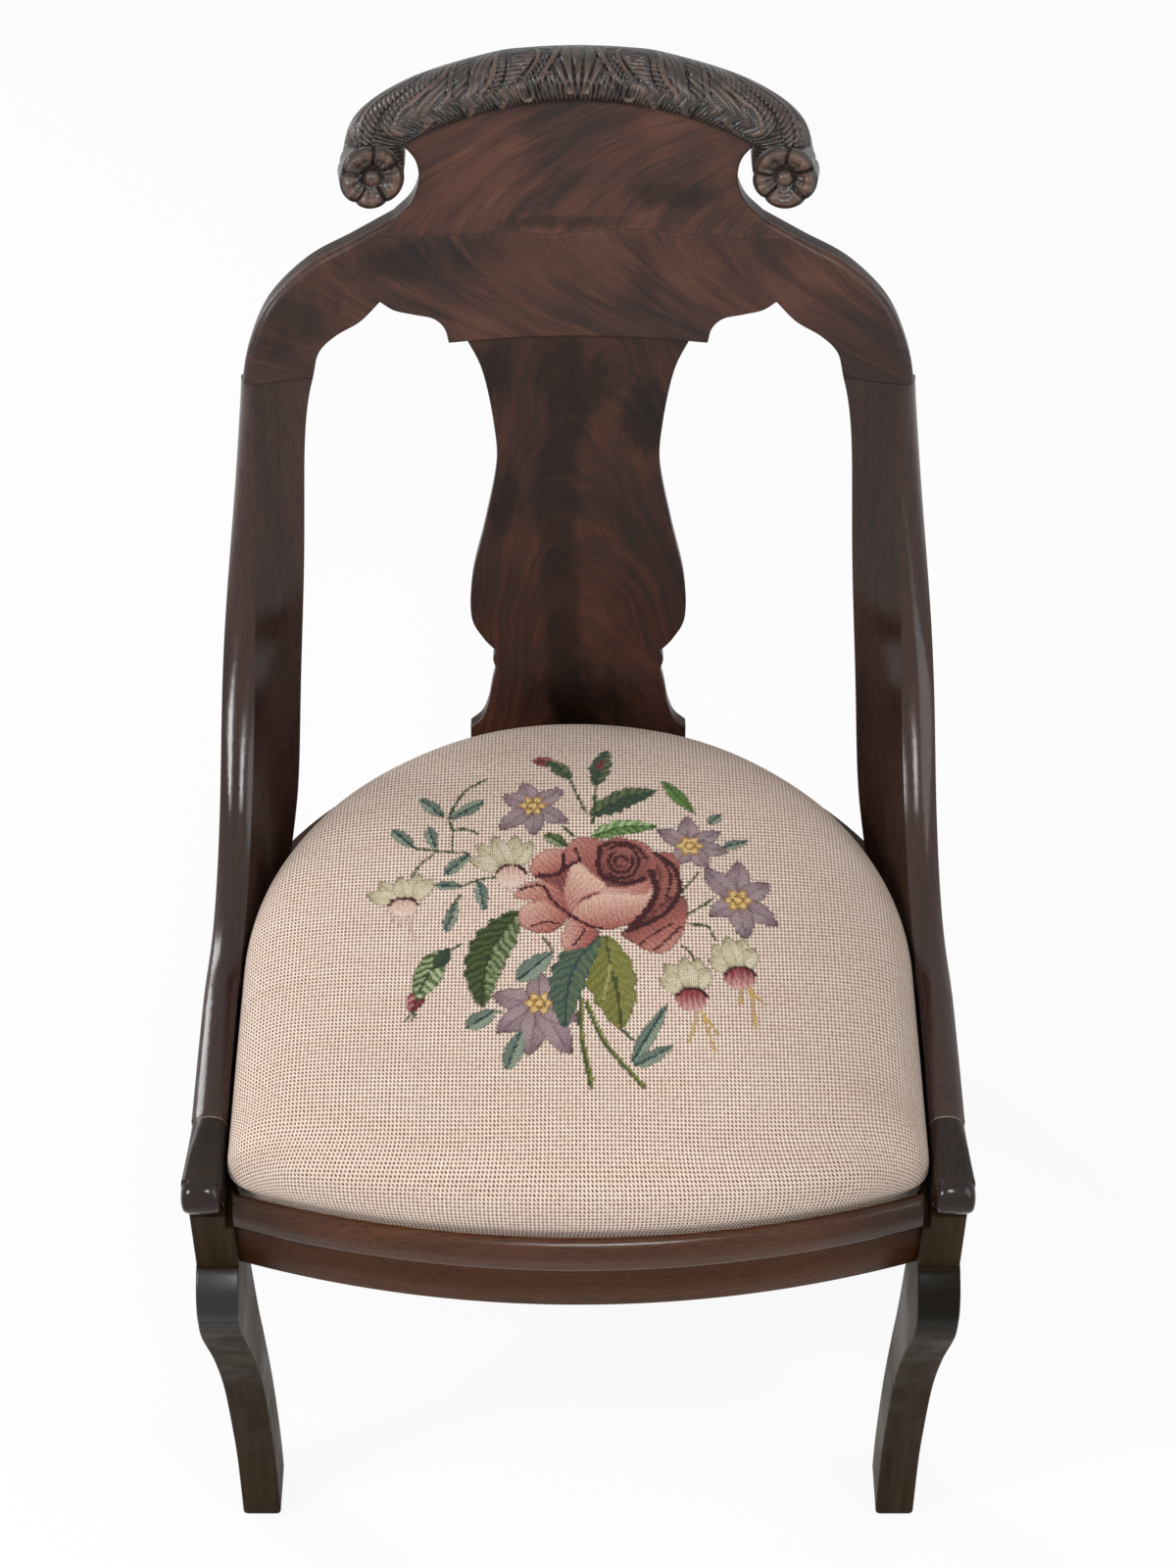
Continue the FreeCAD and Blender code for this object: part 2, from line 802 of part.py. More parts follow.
def crest_lower():
    return [
        curve(LOWER_ARCH + (("joint_inner - 29", "joint_rise + 33"),), ("cusp_half", "cusp_rise")),
        curve(OGEE, ("crest_foot_half", "crest_foot")),
        line((0, "crest_foot")),
    ]


def cap_foot_arc(end):
    return arc(("cap_foot_half / 2", "cap_foot_rise - cap_foot_drop * 0.244"), end)


def crest(holes, mortise):
    right = [cap_foot_arc(CAP_FOOT_END), crest_outer(0), line(("joint_inner", "joint_rise"))] + crest_lower()
    start, steps = both_halves((0, "cap_foot_rise"), right)
    board = bent_board("crest_rail", start, steps, "veneer", "crest_thickness")
    board = rounded(board, crest_edge)
    keep("crest_rail", drilled(board, holes + [mortise]))


def crest_edge(edge):
    """The front edge round the shoulder, softened more towards the stile."""
    spots = [back_spot(vertex) for vertex in edge.Vertexes]
    if len(spots) < 2 or max(abs(spot[2] - size("veneer")) for spot in spots) > 0.1:
        return None
    rises = [spot[1] for spot in spots]
    if min(rises) > size("joint_rise + 1") or max(rises) < size("neck_rise"):
        return None
    wide = size("shoulder_round")
    narrow = size("neck_round")
    return (narrow, wide) if rises[0] > rises[1] else (wide, narrow)


def crest_veneers():
    right = [cap_foot_arc(CAP_FOOT_END), crest_outer(1), line(("joint_inner", "joint_rise"))] + crest_lower()
    start, steps = both_halves((0, "cap_foot_rise"), right)
    for name, low, high in (
        ("crest_veneer_upper", "veneer_seam", "cap_top_rise"),
        ("crest_veneer_lower", "joint_rise", "veneer_seam"),
    ):
        sheet_of_wood = bent_board(name, start, steps, "0", "veneer")
        corner = V(-size("outer_half_width"), -size("bend_radius / 4"), size(low))
        window = block("outer_half_width * 2", "bend_radius / 2", "%s - %s" % (high, low), BACK, corner)
        keep(name, boolean("Common", sheet_of_wood, window))


def crest_cap(holes):
    scroll = []
    for degrees in (0, -45, -90, -135, 180):
        across = math.cos(math.radians(degrees))
        up = math.sin(math.radians(degrees))
        scroll.append(("rosette_half + rosette_radius * %.4f" % across, "rosette_rise + rosette_radius * %.4f" % up))
    roll = [
        ("cap_foot_half * 0.25", "cap_top_rise - 0.9"),
        ("cap_foot_half * 0.5", "cap_top_rise - 3.9"),
        ("cap_foot_half - 4", "cap_top_rise - 17.5"),
        ("rosette_half + 9.5", "rosette_rise + 29"),
    ]
    right = [curve(roll + scroll, CAP_FOOT_END), cap_foot_arc((0, "cap_foot_rise"))]
    start, steps = both_halves((0, "cap_top_rise"), right)
    board = rounded(bent_board("crest_cap", start, steps, "(-cap_reach)", "crest_thickness"), cap_edge)
    keep("crest_cap", drilled(board, holes))


def cap_edge(edge):
    """Front and back edges over the roll and round the scrolls."""
    spots = [back_spot(vertex) for vertex in edge.Vertexes]
    if len(spots) < 2 or max(spot[1] for spot in spots) < size("cap_top_rise - 1"):
        return None
    if max(spot[2] for spot in spots) - min(spot[2] for spot in spots) > 1:
        return None
    return size("cap_round"), size("cap_round")


def rosette():
    body = doc.addObject("PartDesign::Body", "rosette_body")
    sketch = sketch_on(body, "XZ_Plane")
    button = "rosette_radius * 0.2"
    trace(
        sketch,
        ("0", "0"),
        line(("rosette_radius", "0")),
        line(("rosette_radius", "rosette_height * 0.35")),
        arc(("rosette_radius * 0.65", "rosette_height * 0.85"), ("rosette_radius * 0.25", "rosette_height * 0.5")),
        line((button, "rosette_height * 0.7")),
        arc(("rosette_radius * 0.13", "rosette_height * 0.92"), ("rosette_radius * 0.04", "rosette_height")),
        line(("0", "rosette_height")),
        line(("0", "0")),
    )
    turned = body.newObject("PartDesign::Revolution", "rosette_turning")
    turned.Profile = sketch
    turned.ReferenceAxis = (sketch, ["V_Axis"])
    hollow = size("bend_radius - cap_reach")
    seat_rise = size("rosette_radius") ** 2 / (2 * hollow) + size("glue_gap")
    across = size("rosette_half")
    place = back_point(across, size("rosette_rise"), -size("cap_reach") - seat_rise)
    tilt = math.asin(across / hollow)
    facing = BACK.Rotation.multVec(V(-math.sin(tilt), -math.cos(tilt), 0))
    body.Placement = FreeCAD.Placement(place, FreeCAD.Rotation(V(0, 0, 1), facing))
    keep_pair("rosette", body)


def splat_outline(foot):
    neck_in = ("splat_top_half - 10.4", "crest_foot - 21")
    waist = (("splat_waist_half + 1.3", "crest_foot - 57"), ("splat_waist_half + 0.2", "crest_foot - 85"))
    swell = (("splat_waist_half + 7.6", "crest_foot - 124"), ("splat_belly_half - 1.5", "crest_foot - 161"))
    belly = (("splat_belly_half - 0.5", "crest_foot - 189"), ("splat_belly_half - 7.6", "crest_foot - 204.5"))
    base = (("splat_notch_half + 5", "crest_foot - 241"), ("splat_notch_half + 7.5", "crest_foot - 252"))
    right = [
        line(("splat_top_half", "crest_foot")),
        curve((neck_in,) + waist + swell + belly, ("splat_notch_half", "crest_foot - 214")),
        arc(("splat_notch_half + 1.8", "crest_foot - 220"), ("splat_notch_half", "crest_foot - 227")),
        curve(base, ("splat_base_half", "crest_foot - 264")),
        line(("splat_base_half", foot)),
        line((0, foot)),
    ]
    return both_halves((0, "crest_foot"), right)


def tenon(room, low, length):
    """A tenon in the splat's middle, or with room its mortise."""
    thickness = "tenon_thickness + 2 * %s" % room
    depth = size("splat_setback + (splat_thickness - (%s)) / 2" % thickness)
    corner = V(-size("tenon_half + %s" % room), depth, size(low))
    return block("2 * (tenon_half + %s)" % room, thickness, length, BACK, corner)


def splat():
    start, steps = splat_outline("-tenon_depth")
    board = bent_board("splat", start, steps, "splat_setback + veneer", "(splat_setback + splat_thickness)")
    face = bent_board("splat_veneer", start, steps, "splat_setback", "(splat_setback + veneer)")
    corner = chair_point(-size("outer_half_width"), 0, size("ledge - rail_height"))
    world = FreeCAD.Placement(corner, FreeCAD.Rotation())
    under = ("2 * outer_half_width", "2 * back_face", "rail_height + ledge_drop")
    board = boolean("Cut", board, block(*under, world, V()))
    foot = tenon("0", "-tenon_depth", "2 * tenon_depth")
    head = tenon("0", "crest_foot - tenon_depth", "2 * tenon_depth")
    keep("splat", boolean("Fuse", boolean("Fuse", board, foot), head))
    keep("splat_veneer", boolean("Cut", face, block(*under, world, V())))
    return (
        tenon("glue_gap", "-tenon_depth - glue_gap", "2 * tenon_depth"),
        tenon("glue_gap", "crest_foot - tenon_depth", "2 * tenon_depth + glue_gap"),
    )


# Corner blocks and their screws


def screw(head, direction):
    """A countersunk screw whose head is flush at a point and which runs along a direction."""
    radius = size("screw_diameter") / 2
    sunk = 2 * radius
    cone = Part.makeCone(2 * radius, radius, sunk, head, direction)
    return cone.fuse(Part.makeCylinder(radius, size("screw_length"), head, direction)).removeSplitter()


def corner_blocks():
    body = new_body("corner_block_body")
    inner = "(outer_half_width - rail_thickness)"
    rail_back = "bow_radius - front_rail_thickness"
    centre = "bow_radius - bow_reach"
    near = "(%s - block_leg)" % inner
    near_back = "%s - sqrt((%s)^2 - %s^2)" % (centre, rail_back, near)
    far_back = "%s - sqrt((%s)^2 - %s^2)" % (centre, rail_back, inner)
    sketch = sketch_on(body, "XY_Plane", "ledge - block_height - 1")
    trace(
        sketch,
        (near, near_back),
        line((inner, far_back)),
        line((inner, "front_block_back + block_leg")),
        line((near, near_back)),
    )
    pad(body, sketch, "block_height")
    near_x, near_y = size(near), size(near_back)
    far_x, far_y = size(inner), size("front_block_back + block_leg")
    height = size("ledge") - size("block_height") / 2
    screws = []
    for share, direction in ((0.36, V(0, -1, 0)), (0.62, V(1, 0, 0))):
        start = chair_point(near_x + (far_x - near_x) * share, near_y + (far_y - near_y) * share, height)
        screws.append(screw(start + direction * size("screw_diameter"), direction))
    right = doc.addObject("Part::Feature", "corner_block_screws_right")
    right.Shape = Part.makeCompound(screws)
    return body, right


# Slip seat: cover, stuffing, hessian, webbing, wooden bars and dust cover

COVER_PROFILE = (
    (0.0, 0.990),
    (0.27, 0.990),
    (0.41, 1.0),
    (0.57, 0.995),
    (0.73, 0.970),
    (0.86, 0.90),
    (0.95, 0.73),
    (0.985, 0.48),
    (1.0, 0.16),
)
BAR_SCALE = 0.968
HEM_SCALE = 0.93
TACK_SCALE = 0.95
DUST_SCALE = 0.92


def plan_wire(scale, height):
    """The drawn-in plan as a wire of lines and arcs at a height."""
    start, steps = plan_steps(shrunk(scale))
    edges = []
    place = start
    for kind, middles, end in steps:
        points = [chair_point(x, y, height) for x, y in [place] + middles + [end]]
        edges.append(edge_through(kind, points).toShape())
        place = end
    return Part.Wire(edges)


def crowned(inset, drop, foot):
    """The crowned cushion form, drawn in by a distance all round and lowered by another."""
    half = size("well_half_width - seat_clearance")
    low = size("seat_foot")
    wires = [plan_wire(COVER_PROFILE[0][1] - inset / half, foot)]
    for share, scale in COVER_PROFILE:
        height = low + share * size("crown_rise + ledge_drop") - drop
        if height > foot + 1:
            wires.append(plan_wire(scale - inset / half, height))
    return Part.makeLoft(wires, True, False)


def plan_prism(scale, low, high):
    face = Part.Face(plan_wire(scale, low))
    return face.extrude(V(0, 0, high - low))


def shape_node(label, shape):
    item = doc.addObject("Part::Feature", label)
    item.Shape = shape
    item.Placement = FreeCAD.Placement()
    return keep(label, item)


def tack_places():
    """Tacks along the hem: on the sides, round the back and across the front."""
    plan = shrunk(TACK_SCALE)
    half, middle = plan["side_back"]
    places = [(side * half, y) for side in (-1, 1) for y in (70, 110, 150)]
    for angle in range(15, 180, 25):
        places.append((half * math.cos(math.radians(angle)), middle + half * math.sin(math.radians(angle))))
    centre = size("bow_radius - bow_reach")
    radius = centre - plan["front"][1]
    for x in (-140, -70, 0, 70, 140):
        places.append((x, centre - math.sqrt(radius * radius - x * x)))
    return places


def tack(x, y, gap=0.0):
    """A tack with its head sunk flush in the hem, or with a gap the hole that takes it."""
    foot = chair_point(x, y, size("seat_foot"))
    shank = Part.makeCylinder(size("tack_shank") / 2 + gap, size("tack_length") + gap, foot)
    head = Part.makeCylinder(size("tack_head") / 2 + gap, size("cover_thickness - lay_gap") + gap, foot)
    return head.fuse(shank).removeSplitter()


def slip_seat():
    thin = size("cover_thickness")
    foot = size("seat_foot")
    tacks = [tack(x, y) for x, y in tack_places()]
    holes = Part.makeCompound([tack(x, y, size("tack_gap")) for x, y in tack_places()])
    hollow = crowned(thin, thin, foot + thin)
    opening = plan_prism(HEM_SCALE, foot - 1, foot + thin + 1)
    cover = crowned(0, 0, foot).cut(hollow).cut(opening).cut(holes)
    shape_node("seat_cover", cover)
    below = plan_prism(1.0, foot - thin, size("pad_foot"))
    shape_node("seat_stuffing", crowned(thin + size("hem_gap"), thin + size("hem_gap"), foot + thin).cut(below))
    shape_node("cover_tacks", Part.makeCompound(tacks))
    shape_node("seat_hessian", plan_prism(BAR_SCALE - 0.02, size("web_top"), size("pad_foot")))
    shape_node("dust_cover", plan_prism(DUST_SCALE, size("bar_foot") - 0.6, size("bar_foot")))
    slip_bars(holes)
    webbing()


def slip_bars(tack_holes):
    """Front, side and rear bars of the slip seat, butted and doweled."""
    plan = shrunk(BAR_SCALE)
    half, middle = plan["side_back"]
    inner = half - size("bar_width")
    back = FRONT_BAR_BACK
    pins = Pins("pin_diameter", "pin_length")
    height = size("bar_foot + bar_thickness / 2")
    across = half - size("bar_width") / 2
    spread = size("bar_width") / 4
    front_holes, rear_holes = [], []
    for shift in (-spread, spread):
        front_holes += pins.add(chair_point(across + shift, back, height), V(0, 1, 0))
        rear_holes += pins.add(chair_point(across + shift, middle, height), V(0, 1, 0))
    keep("slip_frame_dowels", group(pins.pins))
    holes = doc.addObject("Part::Feature", "tack_holes")
    holes.Shape = tack_holes
    outlines = {
        "slip_bar_front": (
            ((half, back), line(left((half, back))), line(left(plan["side_front"])))
            + (arc(left(plan["corner_mid"]), left(plan["front_end"])), arc(plan["front"], plan["front_end"]))
            + (arc(plan["corner_mid"], plan["side_front"]), line((half, back))),
            front_holes,
        ),
        "slip_bar_right": (
            ((inner, back), line((half, back)), line((half, middle)), line((inner, middle)), line((inner, back))),
            front_holes + rear_holes,
        ),
        "slip_bar_rear": (
            (
                (half, middle),
                arc(plan["rear"], (-half, middle)),
                line((-inner, middle)),
                arc((0, middle + inner), (inner, middle)),
                line((half, middle)),
            ),
            rear_holes,
        ),
    }
    for label, (steps, pin_holes) in outlines.items():
        body = new_body(label + "_body")
        sketch = trace(sketch_on(body, "XY_Plane", "bar_foot"), *steps)
        pad(body, sketch, "bar_thickness")
        bar = drilled(body, pin_holes + [holes])
        keep(label, bar)
        if label == "slip_bar_right":
            keep("slip_bar_left", mirrored(bar))


def webbing():
    """Straps tacked across the bars: lengthways below, crossways above."""
    width = size("webbing_width")
    lap = size("bar_width") * 0.6
    plan = shrunk(BAR_SCALE)
    half, middle = plan["side_back"]
    radius = half - size("bar_width") + lap
    world = FreeCAD.Placement(chair_point(0, 0, size("bar_top")), FreeCAD.Rotation())
    front = FRONT_BAR_BACK - lap
    straps = []
    for column in (-1, 0, 1):
        centre = column * 2 * width
        reach = abs(centre) + width / 2
        length = middle + math.sqrt(radius * radius - reach * reach) - front
        corner = V(centre - width / 2, front, 0)
        straps.append(block("webbing_width", length_text(length), "webbing_thickness", world, corner))
    for row in (0, 1, 2):
        near = FRONT_BAR_BACK + width * (0.8 + 1.8 * row)
        far = max(0.0, near + width - middle)
        reach = math.sqrt(radius * radius - far * far)
        corner = V(-reach, near, size("webbing_thickness"))
        straps.append(block(length_text(2 * reach), "webbing_width", "webbing_thickness", world, corner))
    keep("seat_webbing", group(straps))


def length_text(length):
    return "%.4f" % length


# Joints between the fixed pieces


def rail_mid(share):
    return size("rail_bottom") + size("rail_height") * share


def build():
    dowels = Pins("dowel_diameter", "dowel_length")
    leg_x = size("outer_half_width - leg_thickness / 2")
    leg_inner = size("outer_half_width - leg_thickness")
    rail_inner = size("outer_half_width - rail_thickness")
    bow_centre = size("bow_radius - bow_reach")
    bow_middle = size("bow_radius - front_rail_thickness / 2")
    front_end = bow_centre - math.sqrt(bow_middle**2 - leg_inner**2)
    rear_end = size("(rear_rail_start + rear_block_front - dowel_diameter) / 2")
    front_holes, front_side, rear_side, rear_holes = [], [], [], []
    for share in (0.24, 0.58):
        level = rail_mid(share)
        front_holes += dowels.add(chair_point(leg_inner, front_end, level), V(1, 0, 0))
        front_side += dowels.add(chair_point(leg_x, size("front_block_back"), level), V(0, 1, 0))
        rear_side += dowels.add(chair_point(leg_x, size("rear_block_front"), level), V(0, 1, 0))
        rear_holes += dowels.add(chair_point(rail_inner, rear_end, level), V(1, 0, 0))

    arm_pins = Pins("pin_diameter", "pin_length")
    arm_x = size("arm_inner + arm_thickness / 2")
    arm_holes = []
    for back in (size("terminal_length") + 30, size("bend_start") + 15):
        arm_holes += arm_pins.add(chair_point(arm_x, back, size("rail_top")), V(0, 0, 1))
    leg_pin = arm_pins.add(chair_point(arm_x, size("terminal_length") / 2, size("rail_top")), V(0, 0, 1))
    arm_level = size("rail_top + arm_height / 2")
    butt_pin = arm_pins.add(chair_point(arm_x, size("terminal_length"), arm_level), V(0, 1, 0))

    crest_pins = Pins("pin_diameter", "pin_length")
    up = BACK.Rotation.multVec(V(0, 0, 1))
    middle = size("crest_thickness") / 2
    joint_holes, cap_holes = [], []
    for share in (0.3, 0.8):
        x = size("joint_inner + (joint_arris - joint_inner) * %s" % share)
        joint_holes += crest_pins.add(back_point(x, size("joint_rise"), middle), up)
    foot_radius = (size("cap_foot_half") ** 2 + size("cap_foot_drop") ** 2) / (2 * size("cap_foot_drop"))
    for x in (0, size("cap_foot_half") * 0.6):
        fall = foot_radius - math.sqrt(foot_radius**2 - x * x)
        cap_holes += crest_pins.add(back_point(x, size("cap_foot_rise") - fall, middle), up, both_sides=x > 0)

    rear_mortise, crest_mortise = splat()
    front_rail(front_holes)
    rear_rail(rear_holes, rear_mortise)
    side_rail(front_side + rear_side + rear_holes + arm_holes)
    front_leg(front_holes + front_side + leg_pin)
    rear_leg(rear_side)
    stile(arm_holes + joint_holes + butt_pin)
    arm_terminal(leg_pin + butt_pin)
    crest(joint_holes + cap_holes, crest_mortise)
    crest_veneers()
    crest_cap(cap_holes)
    rosette()
    corner, screws = corner_blocks()
    front_rail_cut = boolean("Cut", nodes["front_seat_rail"], group([screws, mirrored(screws)]))
    keep("front_seat_rail", front_rail_cut)
    for side in ("right", "left"):
        rail = nodes["side_rail_" + side]
        keep("side_rail_" + side, boolean("Cut", rail, screws if side == "right" else mirrored(screws)))
    keep_pair("corner_block", boolean("Cut", corner, screws))
    keep("corner_block_screws", group([screws, mirrored(screws)]))
    slip_seat()
    keep("frame_dowels", group(dowels.pins))
    keep("arm_dowels", group(arm_pins.pins))
    keep("crest_dowels", group(crest_pins.pins))


def check_and_write():
    doc.recompute()
    for item in doc.Objects:
        if "Invalid" in item.State or "Error" in item.State:
            raise RuntimeError("%s failed: %s" % (item.Label, item.State))
    for label, item in nodes.items():
        if item.Shape.isNull() or not item.Shape.isValid() or not item.Shape.Solids:
            raise RuntimeError("%s has no valid solid" % label)
    os.makedirs("parts", exist_ok=True)
    for label, item in nodes.items():
        item.Shape.exportStep("parts/%s.step" % label)
    whole = Part.makeCompound([item.Shape for item in nodes.values()]).BoundBox
    print("%d nodes" % len(nodes))
    print("X %.2f to %.2f, Y %.2f to %.2f, Z %.2f to %.2f" % (
        whole.XMin, whole.XMax, whole.YMin, whole.YMax, whole.ZMin, whole.ZMax))


build()
check_and_write()
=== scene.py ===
import math

import bmesh
import bpy
import numpy as np
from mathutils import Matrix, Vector
from mathutils.geometry import delaunay_2d_cdt


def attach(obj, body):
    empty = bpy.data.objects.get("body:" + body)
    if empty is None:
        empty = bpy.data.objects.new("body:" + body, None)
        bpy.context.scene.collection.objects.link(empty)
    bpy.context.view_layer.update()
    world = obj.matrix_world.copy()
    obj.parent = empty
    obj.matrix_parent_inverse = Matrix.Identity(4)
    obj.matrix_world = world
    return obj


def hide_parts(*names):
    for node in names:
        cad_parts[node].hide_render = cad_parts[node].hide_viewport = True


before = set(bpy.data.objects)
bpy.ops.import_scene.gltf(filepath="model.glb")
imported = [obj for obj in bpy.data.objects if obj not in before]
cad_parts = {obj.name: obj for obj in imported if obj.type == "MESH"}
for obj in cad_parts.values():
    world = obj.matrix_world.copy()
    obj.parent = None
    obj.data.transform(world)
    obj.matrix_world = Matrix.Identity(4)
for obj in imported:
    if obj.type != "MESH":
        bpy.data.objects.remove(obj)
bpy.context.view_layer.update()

MM = 0.001
FRAME_BODY = "chair_frame"
SEAT_BODY = "slip_seat"
SEAT_SOFT_NODES = ("seat_cover", "seat_stuffing", "seat_hessian", "seat_webbing")

# Places in millimetres. Distances back are from the front of the arm terminals.
ORIGIN_SETBACK = 248.1
RAIL_TOP = 395.0
ARM_TOP = 425.0

# The back: a hollow curve across, on a raked frame
BACK_FACE = 370.0
RAKE = math.radians(16.5)
BEND_RADIUS = 600.0
JOINT_RISE = 277.0
JOINT_HALF = 201.5
CREST_FOOT = 292.5
CREST_FOOT_BOW = 2.6
CREST_FOOT_HALF = 78.0
CREST_THICKNESS = 18.0
SPLAT_DEPTHS = (4.0, 15.0)
CAP_FOOT_RISE = 443.0
CAP_FOOT_END = (103.4, 419.0)
ROSETTE_PLACE = (120.5, 404.5)
ROSETTE_RADIUS = 19.3
ROSETTE_AHEAD = 9.0
ROSETTE_DEPTH = 14.0

# The slip seat
SEAT_FOOT = 383.3
SEAT_HEIGHT = 70.0
SEAT_HALF = 201.5
SEAT_CORNER = 28.0
FULL_CORNER = 15.0
WELL_CENTRE = 168.0
BOW_CENTRE = 635.0
FRONT_RADIUS = 647.0
CLOTH_SHARE = 0.92
CLOTH_TOP = 383.0
CLOTH_SAG = 2.5
CLOTH_POINTS = 240
CLOTH_RINGS = 24
CLOTH_MIDDLE = 0.02


# Geometry helpers

# Weights of four neighbouring points of a smooth line, one row for each power of the share of the way
# between the middle two
CURVE = np.array([[0, 2, 0, 0], [-1, 0, 1, 0], [2, -5, 4, -1], [-1, 3, -3, 1]]) / 2
SPAN_STEPS = 24
LINE_POINTS = 40


def on_back(across, rise, depth):
    """Points of the back in the part's frame, from places across, up the slope and behind the hollow face."""
    across, rise, depth = np.broadcast_arrays(across, rise, depth)
    hollow = np.sqrt((BEND_RADIUS + depth) ** 2 - across**2) - BEND_RADIUS
    back = BACK_FACE - ORIGIN_SETBACK + hollow * math.cos(RAKE) + rise * math.sin(RAKE)
    up = RAIL_TOP - hollow * math.sin(RAKE) + rise * math.cos(RAKE)
    return np.stack([across, back, up], axis=-1).astype(float)


def flowing(points, count):
    """A smooth open line through a few points, as evenly spaced points."""
    points = np.array(points, float)
    padded = np.vstack([2 * points[0] - points[1], points, 2 * points[-1] - points[-2]])
    line = []
    for index in range(len(points) - 1):
        share = np.linspace(0, 1, SPAN_STEPS, endpoint=index == len(points) - 2)
        line.append(share[:, None] ** np.arange(4) @ CURVE @ padded[index : index + 4])
    return spaced(np.vstack(line), count)


def travelled(line):
    """Distance along a line at each of its points."""
    return np.append(0, np.cumsum(np.linalg.norm(np.diff(line, axis=0), axis=1)))


def spaced(line, count):
    """The same line as evenly spaced points."""
    length = travelled(line)
    wanted = np.linspace(0, length[-1], count)
    return np.stack([np.interp(wanted, length, part) for part in line.T], axis=1)


def nearest_edge(start, run, points, allowed=True):
    """The edge nearest to each point: its number, the share of the way along it, and the distance."""
    offset = points[:, None, :] - start
    share = np.clip(np.sum(offset * run, axis=2) / np.maximum(np.sum(run * run, axis=1), 1e-9), 0, 1)
    gap = np.where(allowed, np.linalg.norm(offset - share[..., None] * run, axis=2), np.inf)
    index = np.argmin(gap, axis=1)
    rows = np.arange(len(points))
    return index, share[rows, index], gap[rows, index]


def beside(line, along, up):
    """Share along a line, distance from it, and which side: left of the way it runs is positive."""
    line = flowing(line, LINE_POINTS)
    run = np.diff(line, axis=0)
    points = np.column_stack([along, up])
    index, share, reach = nearest_edge(line[:-1], run, points)
    offset = points - line[index]
    turned = run[index, 0] * offset[:, 1] - run[index, 1] * offset[:, 0]
    return (index + share) / len(run), reach, np.sign(turned)


def inside_outline(outline, points):
    """Which points lie inside a closed outline."""
    x, y = points[:, 0][:, None], points[:, 1][:, None]
    x0, y0 = outline[:, 0], outline[:, 1]
    x1, y1 = np.roll(x0, -1), np.roll(y0, -1)
    crossing = (y0 > y) != (y1 > y)
    where = (x1 - x0) * (y - y0) / np.where(y1 == y0, 1e-9, y1 - y0) + x0
    return np.sum(crossing & (x < where), axis=1) % 2 == 1


def smooth_step(low, high, value):
    share = np.clip((value - low) / (high - low), 0, 1)
    return share * share * (3 - 2 * share)


def hump(value, width):
    """1 at 0, falling to both sides."""
    return np.exp(-((value / width) ** 2))


def oval(centre, width, height, turns):
    """Places around an oval."""
    return np.column_stack([centre[0] + width * np.cos(turns), centre[1] + height * np.sin(turns)])


def tube_faces(rows, columns, ends=(True, True)):
    """Faces of a tube of closed rings, with its first and last ring shut where asked."""
    faces = []
    for low in range(0, (rows - 1) * columns, columns):
        high = low + columns
        for column in range(columns):
            after = (column + 1) % columns
            faces.append((low + column, low + after, high + after, high + column))
    if ends[0]:
        faces.append(tuple(range(columns))[::-1])
    if ends[1]:
        faces.append(tuple(range((rows - 1) * columns, rows * columns)))
    return faces


def new_piece(name, points, faces, material, slot, replaced, sharp=40, plane=None, body=FRAME_BODY):
    """A mesh piece in the part's frame; plane holds flat places in millimetres that its material reads."""
    mesh = bpy.data.meshes.new(name)
    mesh.from_pydata([tuple(point) for point in np.asarray(points, float) * MM], [], faces)
    mesh.validate()
    mesh.shade_smooth()
    mesh.set_sharp_from_angle(angle=math.radians(sharp))
    if plane is not None:
        layer = mesh.uv_layers.new(name="plane")
        corners = np.zeros(len(mesh.loops), int)
        mesh.loops.foreach_get("vertex_index", corners)
        layer.data.foreach_set("uv", (np.asarray(plane, float)[corners] * MM).ravel())
    mesh.materials.append(material)
    piece = bpy.data.objects.new(name, mesh)
    bpy.context.collection.objects.link(piece)
    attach(piece, body)
    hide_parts(*replaced)
    return piece


def paint_faces(piece, materials, choose):
    """Give a piece more materials, and each face the one with the number chosen for it."""
    for material in materials:
        piece.data.materials.append(material)
    for face in piece.data.polygons:
        face.material_index = choose(face)


def paint_columns(piece, material, rows, columns, first):
    """Give the faces of a tube, but not its ends, another material from one column on."""
    sides = (rows - 1) * columns
    paint_faces(piece, [material], lambda face: int(face.index < sides and face.index % columns >= first))


def paint_points(piece, name, colours):
    layer = piece.data.color_attributes.new(name=name, type="FLOAT_COLOR", domain="POINT")
    layer.data.foreach_set("color", colours.ravel())


# Materials


class Value:
    """One output of a node. Arithmetic with it adds a node to the same tree."""

    def __init__(self, nodes, socket):
        self.nodes = nodes
        self.socket = socket

    def __add__(self, other):
        return self.nodes.maths("ADD", self, other)

    def __sub__(self, other):
        return self.nodes.maths("SUBTRACT", self, other)

    def __rsub__(self, other):
        return self.nodes.maths("SUBTRACT", other, self)

    def __mul__(self, other):
        return self.nodes.maths("MULTIPLY", self, other)

    def __truediv__(self, other):
        return self.nodes.maths("DIVIDE", self, other)

    def __abs__(self):
        return self.nodes.maths("ABSOLUTE", self)


